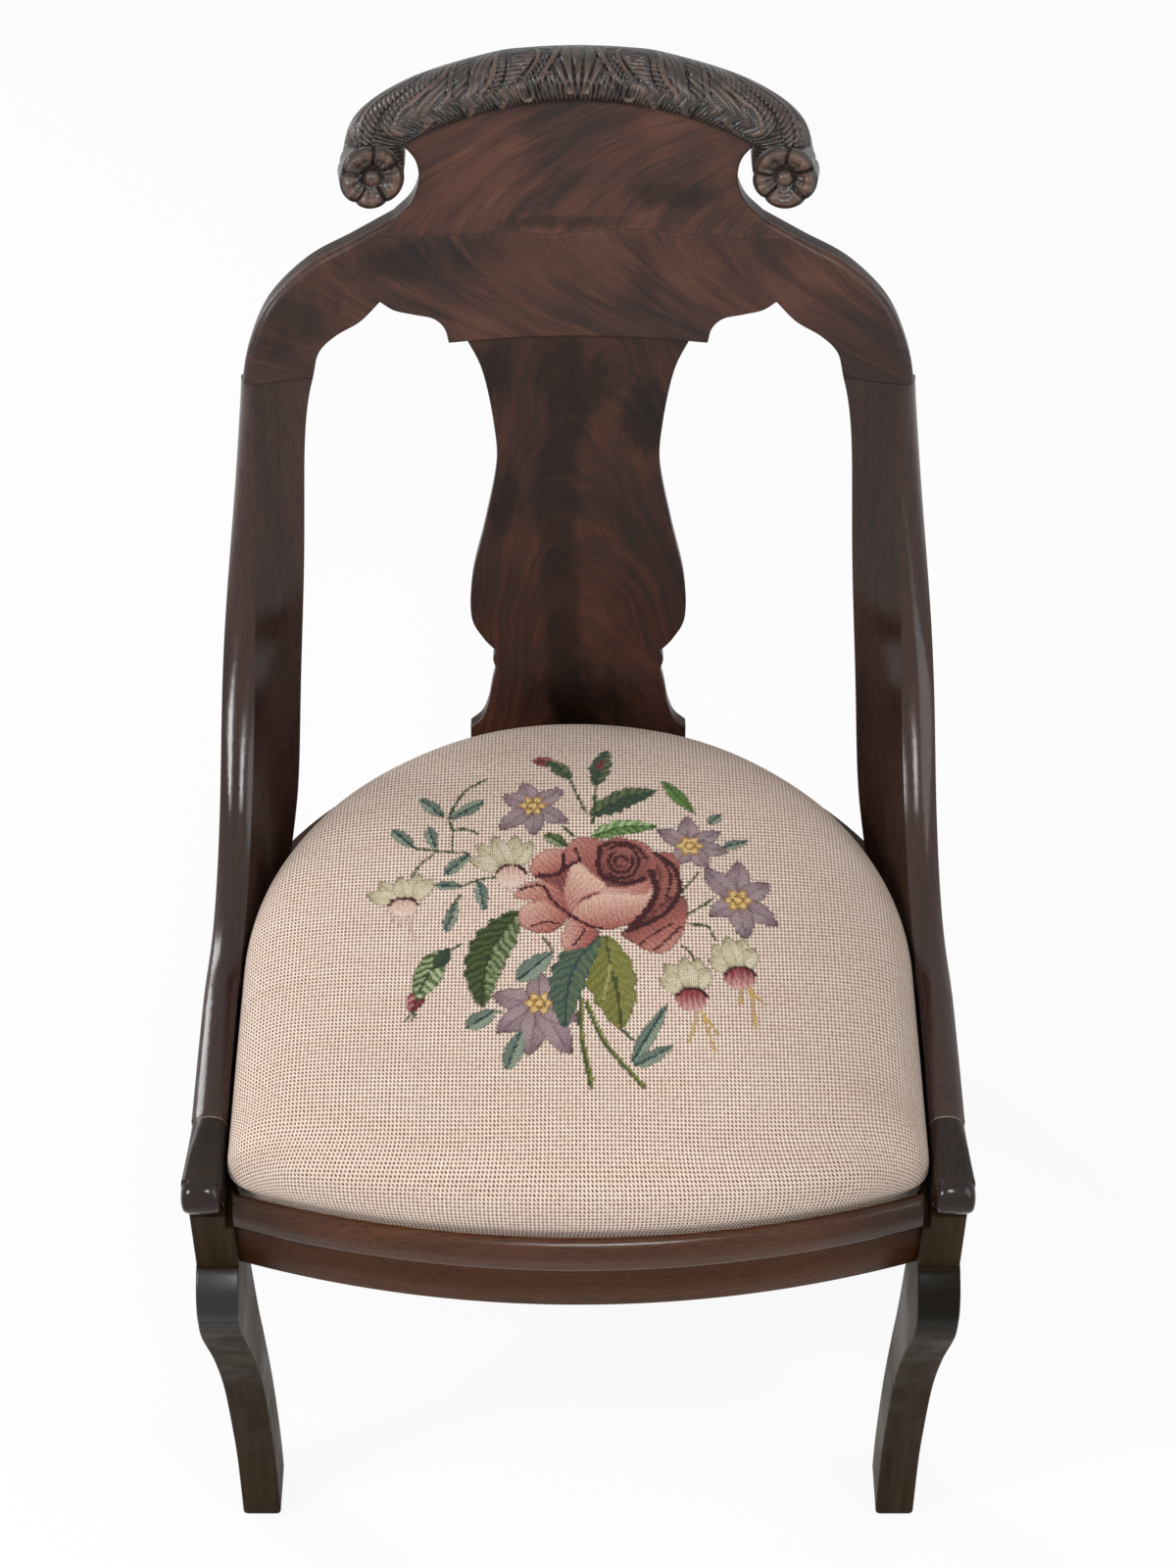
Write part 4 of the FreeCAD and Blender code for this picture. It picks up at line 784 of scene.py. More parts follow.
BROAD_LEAVES = (
    (((7, 268), (17, 275), (30, 284), (49, 290)), 8.5, 9, "fern", 0.55, 0.2, 0.25, 7),
    (((8, 250), (22, 257), (33, 259), (49, 259)), 6.5, 7, "grass", 0.82, 0.4, 0.3, 6),
    (((52, 299), (62, 285), (72, 271)), 4.5, 4.5, "grass", 0.35, 0.5, 0.0, 0),
    (((-35, 190), (-48, 167), (-55, 145), (-56, 115)), 12, 15, "moss", 0.55, 0.2, 0.26, 8),
    (((16, 170), (19, 147), (23, 124), (25, 100)), 14, 17, "olive", 0.55, 0.45, 0.14, 5),
    (((13, 170), (0, 151), (-6, 130), (-8, 101)), 10, 13, "teal", 0.5, 0.38, 0.2, 8),
)
BUDS = (
    (((-14, 313), (-21, 316), (-29, 317)), 5, 5, "wine", 0.3, 0.5, 0.2),
    (((-4, 300), (-11, 309), (-20, 318)), 5.5, 5, "fern", 0.4, 0.6, 0.2, 4),
    (((11, 294), (14, 310), (18, 328)), 7, 7, "fern", 0.25, 0.5, 0.25, 4),
    (((13, 308), (14, 313), (15, 318)), 2.2, 2.2, "wine", 0.4, 0.5),
    (((-92, 130), (-95, 122), (-98, 112)), 5.5, 5.5, "wine", 0.25, 0.6, 0.2),
    (((-80, 160), (-88, 141), (-95, 121)), 8.5, 9, "moss", 0.75, 0.6, 0.3),
    (((-77, 161), (-80, 154), (-84, 146)), 5, 5, "fern", 0.1, 0.25),
)
SMALL_LEAVES = (
    (-98, 285, -82, 267, 4.5), (-58, 282, -79, 266, 4.5), (-114, 258, -100, 242, 4.5),
    (-92, 260, -87, 241, 4.2), (-81, 219, -66, 236, 4.6), (-87, 211, -69, 210, 3.8),
    (-60, 214, -56, 190, 4.0), (-79, 173, -73, 199, 3.8), (-36, 136, -15, 158, 7.2),
    (-65, 100, -48, 114, 6.2), (-41, 71, -33, 99, 5.6), (31, 76, 52, 118, 4.8), (32, 73, 55, 88, 4.8),
    (80, 262, 88, 271, 4.0), (88, 242, 104, 248, 4.0),
)
MAIN_STEMS = (((2, 122), (2, 98), (8, 58)), ((5, 119), (16, 90), (38, 58)))
STEMS = (
    ((61, 203), (67, 212), (73, 221)), ((66, 188), (74, 194), (82, 201)), ((-6, 303), (0, 284), (5, 270)),
    ((11, 297), (10, 278), (9, 262)), ((-80, 267), (-77, 255), (-77, 238)),
    ((-77, 257), (-68, 257), (-61, 253)), ((-99, 242), (-84, 239), (-67, 237)),
    ((-88, 236), (-96, 228), (-101, 218)), ((-69, 210), (-62, 214), (-49, 217)),
    ((-73, 199), (-72, 201), (-71, 203)), ((-70, 164), (-74, 161), (-79, 158)),
    ((-80, 267), (-71, 289), (-57, 301)), ((66, 180), (77, 178), (82, 168)),
    ((61, 163), (67, 158), (70, 148)), ((25, 101), (28, 97), (32, 92)), ((-9, 259), (-6, 255), (-3, 251)),
    ((-48, 113), (-46, 113), (-44, 112)), ((-22, 171), (-18, 165), (-15, 158)),
)
BELLS = (
    (
        (-103, 200), ((-128, 205), (-108, 219), (-87, 217)), (-107, 188),
        (((-105, 191), (-106, 180)), ((-103, 191), (-100, 178), (-97, 167)), ((-108, 191), (-111, 182))),
        "cream", "blush", "blush",
    ),
    (
        (-41, 225), ((-67, 232), (-52, 251), (-28, 247)), (-40, 210),
        (((-43, 214), (-41, 205)), ((-38, 214), (-34, 205))), "cream", "blush", "blush",
    ),
    (
        (67, 129), ((47, 138), (62, 155), (76, 147)), (66, 115),
        (((69, 119), (68, 104), (64, 91)), ((71, 119), (75, 100), (79, 84)), ((73, 110), (81, 96))),
        "cream", "wine", "gold",
    ),
    (
        (95, 146), ((76, 154), (88, 171), (104, 162)), (95, 132),
        (((97, 134), (95, 118)), ((101, 135), (102, 117), (103, 101)), ((102, 127), (109, 119))), "cream",
        "wine", "gold",
    ),
)


def draw_rose(canvas):
    """A full rose: broad outer petals, a folded body and a dark coiled heart."""
    for low, high, lit, *points in ROSE_PETALS:
        canvas.patch(points, "rose", low, high, lit, 0.16, 0.07)
    for start, size in HEART_RINGS:
        canvas.stem(oval(HEART, size, size * 1.25, np.linspace(start, start + 4.6, 16)), 1.1, DARK_RED)
    for width, *points in ROSE_CREASES:
        canvas.stem(points, width, DARK_RED)


def draw_buds(canvas):
    for leaf in BUDS:
        canvas.leaf(*leaf)
    for tip in ((-101, 106), (-97, 105), (-93, 107)):
        canvas.stem(((-96, 114), tip), 0.6, INK["fern"][1])


def draw_bouquet(across, back):
    """Colour and cover of the bouquet at each point."""
    canvas = Canvas(across, back)
    for points in MAIN_STEMS:
        canvas.stem(points, 1.5, INK["olive"][1])
        canvas.stem([(x - 0.9, y) for x, y in points], 0.8, STEM)
    for points in STEMS:
        canvas.stem(points, 0.85, STEM)
    canvas.star_flower(*STAR_FLOWERS[0])
    for leaf in BROAD_LEAVES:
        canvas.leaf(*leaf)
    canvas.stem(((19, 147), (17, 134), (15, 122)), 0.9, INK["olive"][2])
    canvas.stem(((22, 138), (24, 120), (25, 101)), 0.8, INK["olive"][0])
    for x0, y0, x1, y1, half in SMALL_LEAVES:
        canvas.leaf(((x0, y0), ((x0 + x1) / 2, (y0 + y1) / 2), (x1, y1)), half, half, "pine", 0.55, 0.85)
    canvas.leaf(((-21, 252), (-14, 248), (-7, 242)), 4.5, 4.5, "moss", 0.5, 0.75)
    for flower in STAR_FLOWERS[1:]:
        canvas.star_flower(*flower)
    for bell in BELLS:
        canvas.bell(*bell)
    draw_buds(canvas)
    draw_rose(canvas)
    return canvas.colour, canvas.cover


# Cushion

SEAT_POINTS = 760
EASE_STEPS = 18
COVER_PROFILE = (
    (0.0, 0.93), (0.0, 0.985), (0.06, 0.99), (0.27, 0.99), (0.41, 1.0), (0.57, 0.995), (0.73, 0.97),
    (0.86, 0.9), (0.95, 0.73), (0.985, 0.48), (1.0, 0.16), (1.002, 0.0),
)


def seat_outline(count, corner):
    """The D-shaped plan of the cushion: bowed front, round corners, straight sides and a half-round back."""
    inner = SEAT_HALF - corner
    corner_back = BOW_CENTRE - math.sqrt((FRONT_RADIUS - corner) ** 2 - inner**2)
    front_end = math.atan2(inner, BOW_CENTRE - corner_back)
    down = 1.5 * math.pi
    rear = oval((0, WELL_CENTRE), SEAT_HALF, SEAT_HALF, np.linspace(0, math.pi, 200))
    left = oval((-inner, corner_back), corner, corner, np.linspace(math.pi, down - front_end, 40))
    front_turns = np.linspace(down - front_end, down + front_end, 120)
    front = oval((0, BOW_CENTRE), FRONT_RADIUS, FRONT_RADIUS, front_turns)
    return spaced(np.vstack([rear, left, front, left[::-1] * (-1, 1), rear[:1]]), count + 1)[:-1]


def edge_ways(outline):
    """Directions straight out from the outline, eased over the corners."""
    run = np.roll(outline, -1, axis=0) - np.roll(outline, 1, axis=0)
    ways = np.column_stack([run[:, 1], -run[:, 0]])
    ways = sum(np.roll(ways, step, axis=0) for step in range(-EASE_STEPS, EASE_STEPS + 1))
    return ways / np.linalg.norm(ways, axis=1)[:, None]


def cushion(material):
    """The stuffed seat: a crowned form with full sides, drawn in at the foot, with the bouquet as colours."""
    around = seat_outline(SEAT_POINTS, FULL_CORNER)
    centre = (around[:, 1].min() + around[:, 1].max()) / 2
    spokes = around - (0, centre)
    foot_spokes = seat_outline(SEAT_POINTS, SEAT_CORNER) - (0, centre)
    reach = np.linalg.norm(spokes, axis=1)
    size = (SEAT_HEIGHT, SEAT_HALF)
    profile = np.vstack([COVER_PROFILE[:2], flowing(np.array(COVER_PROFILE[2:]) * size, 190) / size])[:-1]
    levels, scales = profile.T
    drops = np.abs(np.diff(np.append(levels, 1.0))) * SEAT_HEIGHT
    steps = np.abs(np.diff(np.append(scales, 0.0)))
    lean = smooth_step(0.8, 0.97, scales)[:, None, None]
    ways = spokes / reach[:, None] * (1 - lean) + edge_ways(around) * lean
    runs = np.hypot(steps[:, None] * reach, drops[:, None])
    flats = np.cumsum((ways * runs[..., None])[::-1], axis=0)[::-1] + (0, centre)
    rings = []
    for level, scale in profile:
        full = smooth_step(0.22, 0.42, level)
        x, y = ((spokes * full + foot_spokes * (1 - full)) * scale + (0, centre)).T
        dimple = 0.5 * np.sin(x * 0.045 + 1) * np.sin(y * 0.05) * smooth_step(0.3, 0.8, level)
        rings.append(np.column_stack([x, y - ORIGIN_SETBACK, SEAT_FOOT + level * SEAT_HEIGHT + dimple]))
    crown = (0, centre - ORIGIN_SETBACK, SEAT_FOOT + SEAT_HEIGHT * COVER_PROFILE[-1][0])
    points = np.vstack([*rings, crown])
    flats = np.vstack([flats.reshape(-1, 2), (0, centre)])
    faces = tube_faces(len(rings), SEAT_POINTS, (True, False))
    last = (len(rings) - 1) * SEAT_POINTS
    for index in range(SEAT_POINTS):
        faces.append((last + index, last + (index + 1) % SEAT_POINTS, len(points) - 1))
    given = points, faces, material, "needlepoint", SEAT_SOFT_NODES, 60, flats, SEAT_BODY
    piece = new_piece("needlepoint_seat", *given)
    colour, cover = draw_bouquet(*flats.T)
    paint_points(piece, "bouquet", np.column_stack([colour, cover]))


# Bent boards of the back

BOARD_SPACING = 4.0
# Rings of points inside a rounded edge, as shares of its rounding
ROUND_SHARES = (0.04, 0.15, 0.33, 0.58, 0.85, 1.05)


def edge_distance(outline, rounds, points, rounded_only=False):
    """Distance from each point to the outline, or to its rounded edges, and the rounding there."""
    after = np.roll(rounds, -1)
    allowed = (rounds > 0) & (after > 0) if rounded_only else True
    index, share, gap = nearest_edge(outline, np.roll(outline, -1, axis=0) - outline, points, allowed)
    return gap, rounds[index] * (1 - share) + after[index] * share


def bent_board(name, outline, rounds, front, back, materials, replaced):
    """A board along the hollow of the back, with rounded front edges; its face has the first material."""
    normal = np.roll(outline, -1, axis=0) - np.roll(outline, 1, axis=0)
    normal = np.column_stack([-normal[:, 1], normal[:, 0]]) / np.linalg.norm(normal, axis=1)[:, None]
    area = np.sum(outline[:, 0] * np.roll(outline[:, 1], -1) - np.roll(outline[:, 0], -1) * outline[:, 1])
    normal = normal * np.sign(area)
    inner = [outline]
    for share in ROUND_SHARES:
        inner.append((outline + normal * (rounds * share)[:, None])[rounds > 0.2])
    low, high = outline.min(axis=0), outline.max(axis=0)
    columns, rows = np.meshgrid(*(np.arange(*ends, BOARD_SPACING) for ends in zip(low, high)))
    inner.append(np.column_stack([columns.ravel(), rows.ravel()]))
    points = np.vstack(inner)
    gap, rounding = edge_distance(outline, rounds, points)
    keep = inside_outline(outline, points) & (gap > 0.02)
    ring_count = sum(len(part) for part in inner[:-1])
    keep[ring_count:] &= gap[ring_count:] > rounding[ring_count:] + 1.5
    keep[: len(outline)] = True
    points = points[keep]
    made = delaunay_2d_cdt([Vector(point) for point in points], [], [list(range(len(outline)))], 1, 1e-5)
    flat = np.array(made[0])[:, :2]
    triangles = [tuple(face) for face in made[2]]
    gap, rounding = edge_distance(outline, rounds, flat, True)
    near = np.clip(1 - gap / np.maximum(rounding, 1e-6), 0, 1)
    depth = front + rounding * (1 - np.sqrt(np.maximum(1 - near**2, 0)))
    face_points = on_back(flat[:, 0], flat[:, 1], depth)
    back_points = on_back(flat[:, 0], flat[:, 1], back)
    count = len(flat)
    turn = [np.cross(flat[b] - flat[a], flat[c] - flat[a]) for a, b, c in triangles]
    front_faces = [face if sign > 0 else face[::-1] for face, sign in zip(triangles, turn)]
    faces = front_faces + [tuple(index + count for index in face[::-1]) for face in front_faces]
    rim = {pair: None for face in front_faces for pair in zip(face, face[1:] + face[:1])}
    for first, second in rim:
        if (second, first) not in rim:
            faces.append((second, first, first + count, second + count))
    points = np.vstack([face_points, back_points])
    flat = np.vstack([flat, flat])
    piece = new_piece(name, points, faces, materials[0], "flame_veneer", replaced, 35, flat)
    paint_faces(piece, materials[1:], lambda face: int(face.index >= len(front_faces)))


def closed_outline(*pieces):
    """A symmetric outline from the lines of its right half, each with its rounding or one for each end."""
    line = []
    rounds = []
    last = 0.0
    for points, *ends in pieces:
        rounding = np.linspace(ends[0], ends[-1], len(points))
        rounding[0] = max(rounding[0], last)
        last = rounding[-1]
        line.append(points[:-1])
        rounds.append(rounding[:-1])
    right = np.vstack([*line, points[-1:]])
    soft = np.append(np.concatenate(rounds), last)
    mirror = right[::-1] * (-1, 1)
    return np.vstack([right, mirror[1:-1]])[::-1], np.concatenate([soft, soft[::-1][1:-1]])[::-1]


def crest_foot(start, end, above):
    """The lower edge of the crest, a little higher in the middle."""
    across = np.linspace(start, end, 24)
    bow = CREST_FOOT_BOW * (1 - (across / CREST_FOOT_HALF) ** 2)
    return np.column_stack([across, CREST_FOOT + bow + above])


def cap_foot(count):
    """The line where the carved roll meets the veneer, from the centre to its right end."""
    drop = CAP_FOOT_RISE - CAP_FOOT_END[1]
    radius = (CAP_FOOT_END[0] ** 2 + drop**2) / (2 * drop)
    across = np.linspace(0, CAP_FOOT_END[0], count)
    return np.column_stack([across, CAP_FOOT_RISE - radius + np.sqrt(radius**2 - across**2)])


def crest(material, edge_material):
    top = (CAP_FOOT_END, (95.5, 408.5), (93.8, 396), (98.8, 383), (109.8, 372.6))
    joint = (JOINT_HALF, JOINT_RISE)
    shoulder = (top[-1], (133.8, 360.6), (160.8, 347.6), (184.2, 326), (196.7, 299), joint)
    arch = ((159.3, JOINT_RISE), (155.3, 292.5), (145.3, 302), (130.3, 310), (118.3, 321.5))
    foot = (CREST_FOOT_HALF, CREST_FOOT)
    ogee = (arch[-1], (110.2, 315.5), (98.3, 311.8), (87, 308.5), (80.5, 302), foot)
    outline, rounds = closed_outline(
        (cap_foot(30), 0.0),
        (flowing(top, 24), 1.5, 3.0),
        (flowing(shoulder, 60), 3.0, 9.0),
        (np.linspace(joint, arch[0], 29), 0.0),
        (flowing(arch, 30), 1.0),
        (flowing(ogee, 30), 1.0),
        (crest_foot(CREST_FOOT_HALF, 0, 0.0), 0.6),
    )
    replaced = ("crest_rail", "crest_veneer_upper", "crest_veneer_lower")
    bent_board("crest_board", outline, rounds, 0.0, CREST_THICKNESS, (material, edge_material), replaced)


def splat(material, edge_material):
    half = 68.7
    foot = (69.3, 3.0)
    side = ((half, 295.08), (58.3, 271.5), (51.7, 235.5), (50.6, 207.5), (58.0, 168.5), (66.5, 131.5))
    side += ((67.5, 103.5), (60.4, 88.0), (52.5, 78.5))
    bead = (side[-1], (54.3, 72.5), (52.5, 65.5))
    base = (bead[-1], (55.4, 53.0), (57.6, 41.0), (61.8, 30.5), (foot[0], 24.0))
    outline, rounds = closed_outline(
        (crest_foot(0, half, 2.0), 0.0),
        (flowing(side, 110), 1.2),
        (flowing(bead, 12), 1.2),
        (flowing(base, 30), 1.2),
        (np.linspace(base[-1], foot, 12), 1.2),
        (np.linspace(foot, (0, foot[1]), 20), 0.0),
    )
    replaced = ("splat", "splat_veneer")
    bent_board("splat_board", outline, rounds, *SPLAT_DEPTHS, (material, edge_material), replaced)


# Carved roll along the top and its rosettes

ROLL_LINE = ((0, 470.7), (26, 469.8), (51.7, 466.8), (99.4, 453.2), (130, 433.5), (139.5, 404.5))
ROLL_FOOT_END = (102.0, 402.0)
# About how far the top line of the roll stands above its foot line
ROLL_RISE = 30.0
# Section of the roll: share of its rise, and depth behind the hollow face
ROLL_SECTION = (
    (0.0, 0.5), (0.05, -4.5), (0.18, -8.2), (0.38, -9.0), (0.6, -7.0), (0.8, -2.5), (0.94, 4.5),
    (1.0, 11.0), (0.985, 16.0), (0.95, 18.0),
)
# Carved leaves of one half: the rib from its head near the top to its tip at the foot, as millimetres along
# and up the roll; how far the leaf reaches outwards and inwards of it; and the slant and pitch of its flutes
CARVED_LEAVES = (
    (((19, 36), (29, 24), (40, 17), (51, 8)), 18, 9, (3, 2.7), (82, 2.3)),
    (((39, 49), (45, 30), (55, 21), (73, 8)), 15, 6, (-57, 3.0), (3, 2.7)),
    (((62, 50), (71, 36), (88, 29), (102, 25), (118, 15)), 13, 15, (-66, 2.5), (-25, 3.4)),
    (((84, 46), (109, 40), (118, 35), (128, 28), (139, 20)), 14, 10, (-12, 2.4), (-72, 2.5)),
)
CARVED_STEMS = (
    (((8, 50), (12, 37), (20, 25), (28, 18)), 1.6),
    (((60, 50), (70, 28), (81, 19), (106, 9), (122, 8)), 1.5),
    (((24, 50), (20, 40), (24, 30), (33, 22)), 1.2),
)
CARVED_CURLS = ((4.5, 17.0, 3.4), (15.5, 20.0, 5.2), (32.0, 15.0, 4.2))
FAN_HALF = 11.0
ROLL_STATIONS = 400
ROLL_BACK_START = 92


def flutes(along, up, slant, pitch):
    """Rounded ridges with sharp valleys between them, from 0 to 1."""
    angle = math.radians(slant)
    phase = (up * math.cos(angle) - along * math.sin(angle)) / pitch
    return np.abs(np.sin(np.pi * phase)) ** 0.7


def leaf_relief(along, up, height):
    """Height and wear of the carving: a fan in the middle, then long fluted leaves that lean outwards."""
    shape = np.broadcast(along, up).shape
    along, up = (np.broadcast_to(part, shape).ravel() for part in (along, up))
    ridges = flutes(along, up, 86, 2.8)
    relief = 0.3 + 1.1 * ridges
    worn = 0.55 * ridges
    fan = np.abs(np.cos(np.arctan2(along, up + 6) * 21)) ** 0.8
    middle = (along < FAN_HALF + 0.3 * np.maximum(up - 20, 0)) & (up > 15)
    relief = np.where(middle, 0.4 + 1.9 * fan, relief)
    worn = np.where(middle, 0.1 + 0.6 * fan, worn)
    for rib, outwards, inwards, outer_flutes, inner_flutes in CARVED_LEAVES:
        share, reach, side = beside(rib, along, up)
        outer = side > 0
        ridges = np.where(outer, flutes(along, up, *outer_flutes), flutes(along, up, *inner_flutes))
        taper = np.sin(np.pi * np.clip(share * 0.93 + 0.05, 0, 1) ** 0.8) ** 0.6
        width = np.where(outer, outwards, inwards) * taper * (0.9 + 0.1 * ridges)
        across = np.clip(reach / np.maximum(width, 0.1), 0, 1)
        line = hump(reach, 0.9)
        groove = hump(reach - 1.9, 0.6)
        border = smooth_step(0.86, 1.0, across)
        body = 0.4 + 1.1 * np.sqrt(1 - across**2) + 0.9 * ridges * smooth_step(0.0, 0.12, across)
        body += 0.8 * line - 0.9 * groove - 1.1 * border
        edge = hump(reach - width, 1.1) * (reach > width)
        inside = (reach < width) & (share < 0.999)
        relief = np.where(inside, body, relief - 0.9 * edge)
        rubbed = 0.12 + 0.68 * ridges + 0.5 * (line - groove - border)
        worn = np.where(inside, rubbed, worn - 0.6 * edge)
    for line, width in CARVED_STEMS:
        share, reach, _ = beside(line, along, up)
        swell = np.sqrt(np.clip(1 - (reach / width) ** 2, 0, 1))
        swell *= np.sin(np.pi * np.clip(share, 0.02, 0.98)) ** 0.4
        edge = hump(reach - width, 0.8)
        relief = np.where(reach < width, np.maximum(relief, 2.4 * swell), relief - 0.8 * edge)
        worn = np.where(reach < width, 0.95 * swell, worn - 0.5 * edge)
    for x, y, radius in CARVED_CURLS:
        ring = hump(np.hypot(along - x, (up - y) * 0.9) - radius, 1.1)
        ring = ring * (np.arctan2(up - y, along - x) < 1.9)
        relief = np.maximum(relief, 2.7 * ring)
        worn = np.maximum(worn, 1.1 * ring)
    fade = smooth_step(1.0, 5.0, up) * smooth_step(3.0, 20.0, height - up)
    return (relief * fade).reshape(shape), (worn * (0.3 + 0.7 * fade)).reshape(shape)


def carved_roll(material, back_material):
    """The roll over the crest, swept between its foot line and its top line, with the leaves cut in."""
    top = flowing(ROLL_LINE, ROLL_STATIONS)
    foot_end = flowing((CAP_FOOT_END, (101.6, 411.0), ROLL_FOOT_END), 20)
    foot = spaced(np.vstack([cap_foot(60), foot_end[1:]]), ROLL_STATIONS)
    section = flowing(ROLL_SECTION, 110)
    up = travelled(section * (ROLL_RISE, 1))
    along = travelled((top + foot) / 2)
    relief, worn = leaf_relief(along[:, None], up[None, :], up[-1])

    def surface(sign):
        flat = foot[:, None, :] + (top - foot)[:, None, :] * section[None, :, :1]
        points = on_back(flat[..., 0] * sign, flat[..., 1], section[:, 1])
        normal = np.cross(np.gradient(points, axis=0), np.gradient(points, axis=1)) * sign
        normal /= np.maximum(np.linalg.norm(normal, axis=2, keepdims=True), 1e-9)
        return points + normal * relief[..., None]

    points = np.vstack([surface(-1.0)[::-1][:-1], surface(1.0)])
    inner = np.vstack([foot[::-1][:-1] * (-1, 1), foot])
    behind = on_back(inner[:, 0], inner[:, 1], CREST_THICKNESS)
    points = np.concatenate([points, behind[:, None, :]], axis=1)
    rows, columns = points.shape[:2]
    faces = [face[::-1] for face in tube_faces(rows, columns)]
    points = points.reshape(-1, 3)
    piece = new_piece("carved_roll", points, faces, material, "carved_mahogany", ("crest_cap",), 50)
    worn = np.vstack([worn[::-1][:-1], worn])
    paint_ridges(piece, np.column_stack([worn, np.zeros(rows)]).ravel(), 0.0, 1.0)
    paint_columns(piece, back_material, rows, columns, ROLL_BACK_START)


def paint_ridges(piece, height, low, high):
    """Keep how far the carving stands up, or how worn it is, as a layer that its wood reads."""
    share = np.clip((height - low) / (high - low), 0, 1)
    paint_points(piece, "ridge", np.column_stack([share, share, share, np.ones(len(share))]))


def rosette(name, side, turn, material):
    """A carved flower: five cupped petals with creases, deep gaps between them and a round button."""
    rings = 60
    spokes = 200
    reach = np.linspace(0, 1, rings)[:, None]
    angle = np.linspace(0, 2 * np.pi, spokes, endpoint=False)[None, :]
    swing = angle + 0.16 * np.sin(2 * angle + turn)
    petal = np.abs(np.cos(2.5 * (swing - turn)))
    rim = ROSETTE_RADIUS * (0.90 + 0.10 * petal**0.5)
    cup = smooth_step(0.22, 0.66, reach) * (1 - smooth_step(0.8, 1.0, reach) * 0.85)
    folds = np.cos((swing - turn) * 15 + 3 * reach) * smooth_step(0.3, 0.5, reach)
    relief = 2.2 + 4.4 * cup * (0.6 + 0.4 * petal**0.4) + 0.4 * folds * (1 - smooth_step(0.85, 1.0, reach))
    valley = hump(petal, 0.22) * smooth_step(0.3, 0.5, reach) * (1 - smooth_step(0.93, 1.0, reach))
    relief -= 2.0 * valley + 1.4 * hump(reach - 0.56, 0.10) * petal
    button = np.sqrt(np.clip(1 - (reach / 0.29) ** 2, 0, 1))
    relief = np.maximum(relief, 1.6 + 6.0 * button)
    across = ROSETTE_PLACE[0] * side
    tilt = math.asin(across / (BEND_RADIUS - ROSETTE_AHEAD))
    origin = on_back(across, ROSETTE_PLACE[1], -ROSETTE_AHEAD).reshape(3)
    up = np.array([0, math.sin(RAKE), math.cos(RAKE)])
    out = np.array([-math.sin(tilt), -math.cos(tilt) * math.cos(RAKE), math.cos(tilt) * math.sin(RAKE)])
    right = np.cross(out, up)
    spread = np.cos(angle)[..., None] * right + np.sin(angle)[..., None] * up
    front = origin + (reach * rim)[..., None] * spread + relief[..., None] * out
    behind = origin + (rim * 0.94)[..., None] * spread - out * ROSETTE_DEPTH
    points = np.vstack([front.reshape(-1, 3), behind[0]])
    faces = tube_faces(rings + 1, spokes, (False, True))
    replaced = (name.replace("carved_", ""),)
    piece = new_piece(name, points, faces, material, "carved_mahogany", replaced, 50)
    paint_ridges(piece, np.append(relief.ravel(), np.zeros(spokes)), 1.4, 6.2)


# Rolled arm ends

ARM_INNER = 203.0
ARM_OUTER = 223.5
ARM_CROWN = 4.0
TERMINAL_LENGTH = 55.0
TERMINAL_FLARE = 4.5
NOSE_DEPTH = 12.0
NOSE_CENTRE = 412.6
NOSE_HALF = 12.6
NOSE_STEPS = 18
ARM_STEPS = 27
# Distances of the first two rings from the joint, with the dust between them
JOINT_LINE = (0.1, 0.8)
# Where the crown over the arm ends and where it is full, as distance back
CROWN_REACH = (28, 54)
ARM_SQUARE = 7.0
NOSE_SQUARE = 3.0
NOSE_TURN = 1.53
NOSE_TAPER = 0.34


def squared(wave, power):
    """A sine or cosine drawn out towards a square."""
    return np.sign(wave) * np.abs(wave) ** (2 / power)


def terminal(name, side, material, nose_material, dust):
    """An arm end: crowned where it meets the arm, flat and wider at the front, with a domed nose."""
    around = 96
    turn = np.linspace(0, 2 * np.pi, around, endpoint=False)
    first, second = (TERMINAL_LENGTH - gap for gap in JOINT_LINE)
    arm = np.append(first, np.linspace(second, NOSE_DEPTH + 1, ARM_STEPS - 1))
    backs = np.append(arm, np.full(NOSE_STEPS, NOSE_DEPTH))
    swell = np.append(np.full(ARM_STEPS, -1.0), np.linspace(0.0, NOSE_TURN, NOSE_STEPS))
    low, high = RAIL_TOP + 0.3, ARM_TOP
    rings = []
    for back, bend in zip(backs, swell):
        forward = 1 - back / TERMINAL_LENGTH
        outer = ARM_OUTER + TERMINAL_FLARE * (0.5 * forward + 0.5 * forward**2)
        middle = (ARM_INNER + outer) / 2
        half = (outer - ARM_INNER) / 2
        power = ARM_SQUARE if bend < 0 else NOSE_SQUARE
        x, z = (squared(wave, power) for wave in (np.cos(turn), np.sin(turn)))
        if bend < 0:
            crown = ARM_CROWN * smooth_step(*CROWN_REACH, back)
            height = (low + high) / 2 + z * (high - low) / 2
            height += np.where(z > 0, (crown * (1 - x**2) - 0.5 * crown * (x > 0) * x**2) * z, 0)
        else:
            half *= 1.0 - NOSE_TAPER * (1 - math.cos(bend)) ** 1.5
            height = NOSE_CENTRE + z * NOSE_HALF * math.cos(bend)
            back -= NOSE_DEPTH * math.sin(bend)
        place = (middle + x * half) * side
        rings.append(np.column_stack([place, np.full(around, back - ORIGIN_SETBACK), height]))
    faces = [face[::side] for face in tube_faces(len(rings), around)]
    replaced = (name.replace("rolled_", "arm_"),)
    piece = new_piece(name, np.vstack(rings), faces, material, "mahogany", replaced, 30)

    def wood(face):
        ring = face.index // around
        return 2 if ring == 0 else int(ARM_STEPS <= ring < ARM_STEPS + NOSE_STEPS - 1)

    paint_faces(piece, [nose_material, dust], wood)


# Front rail and front legs

RAIL_HALF = 198.3
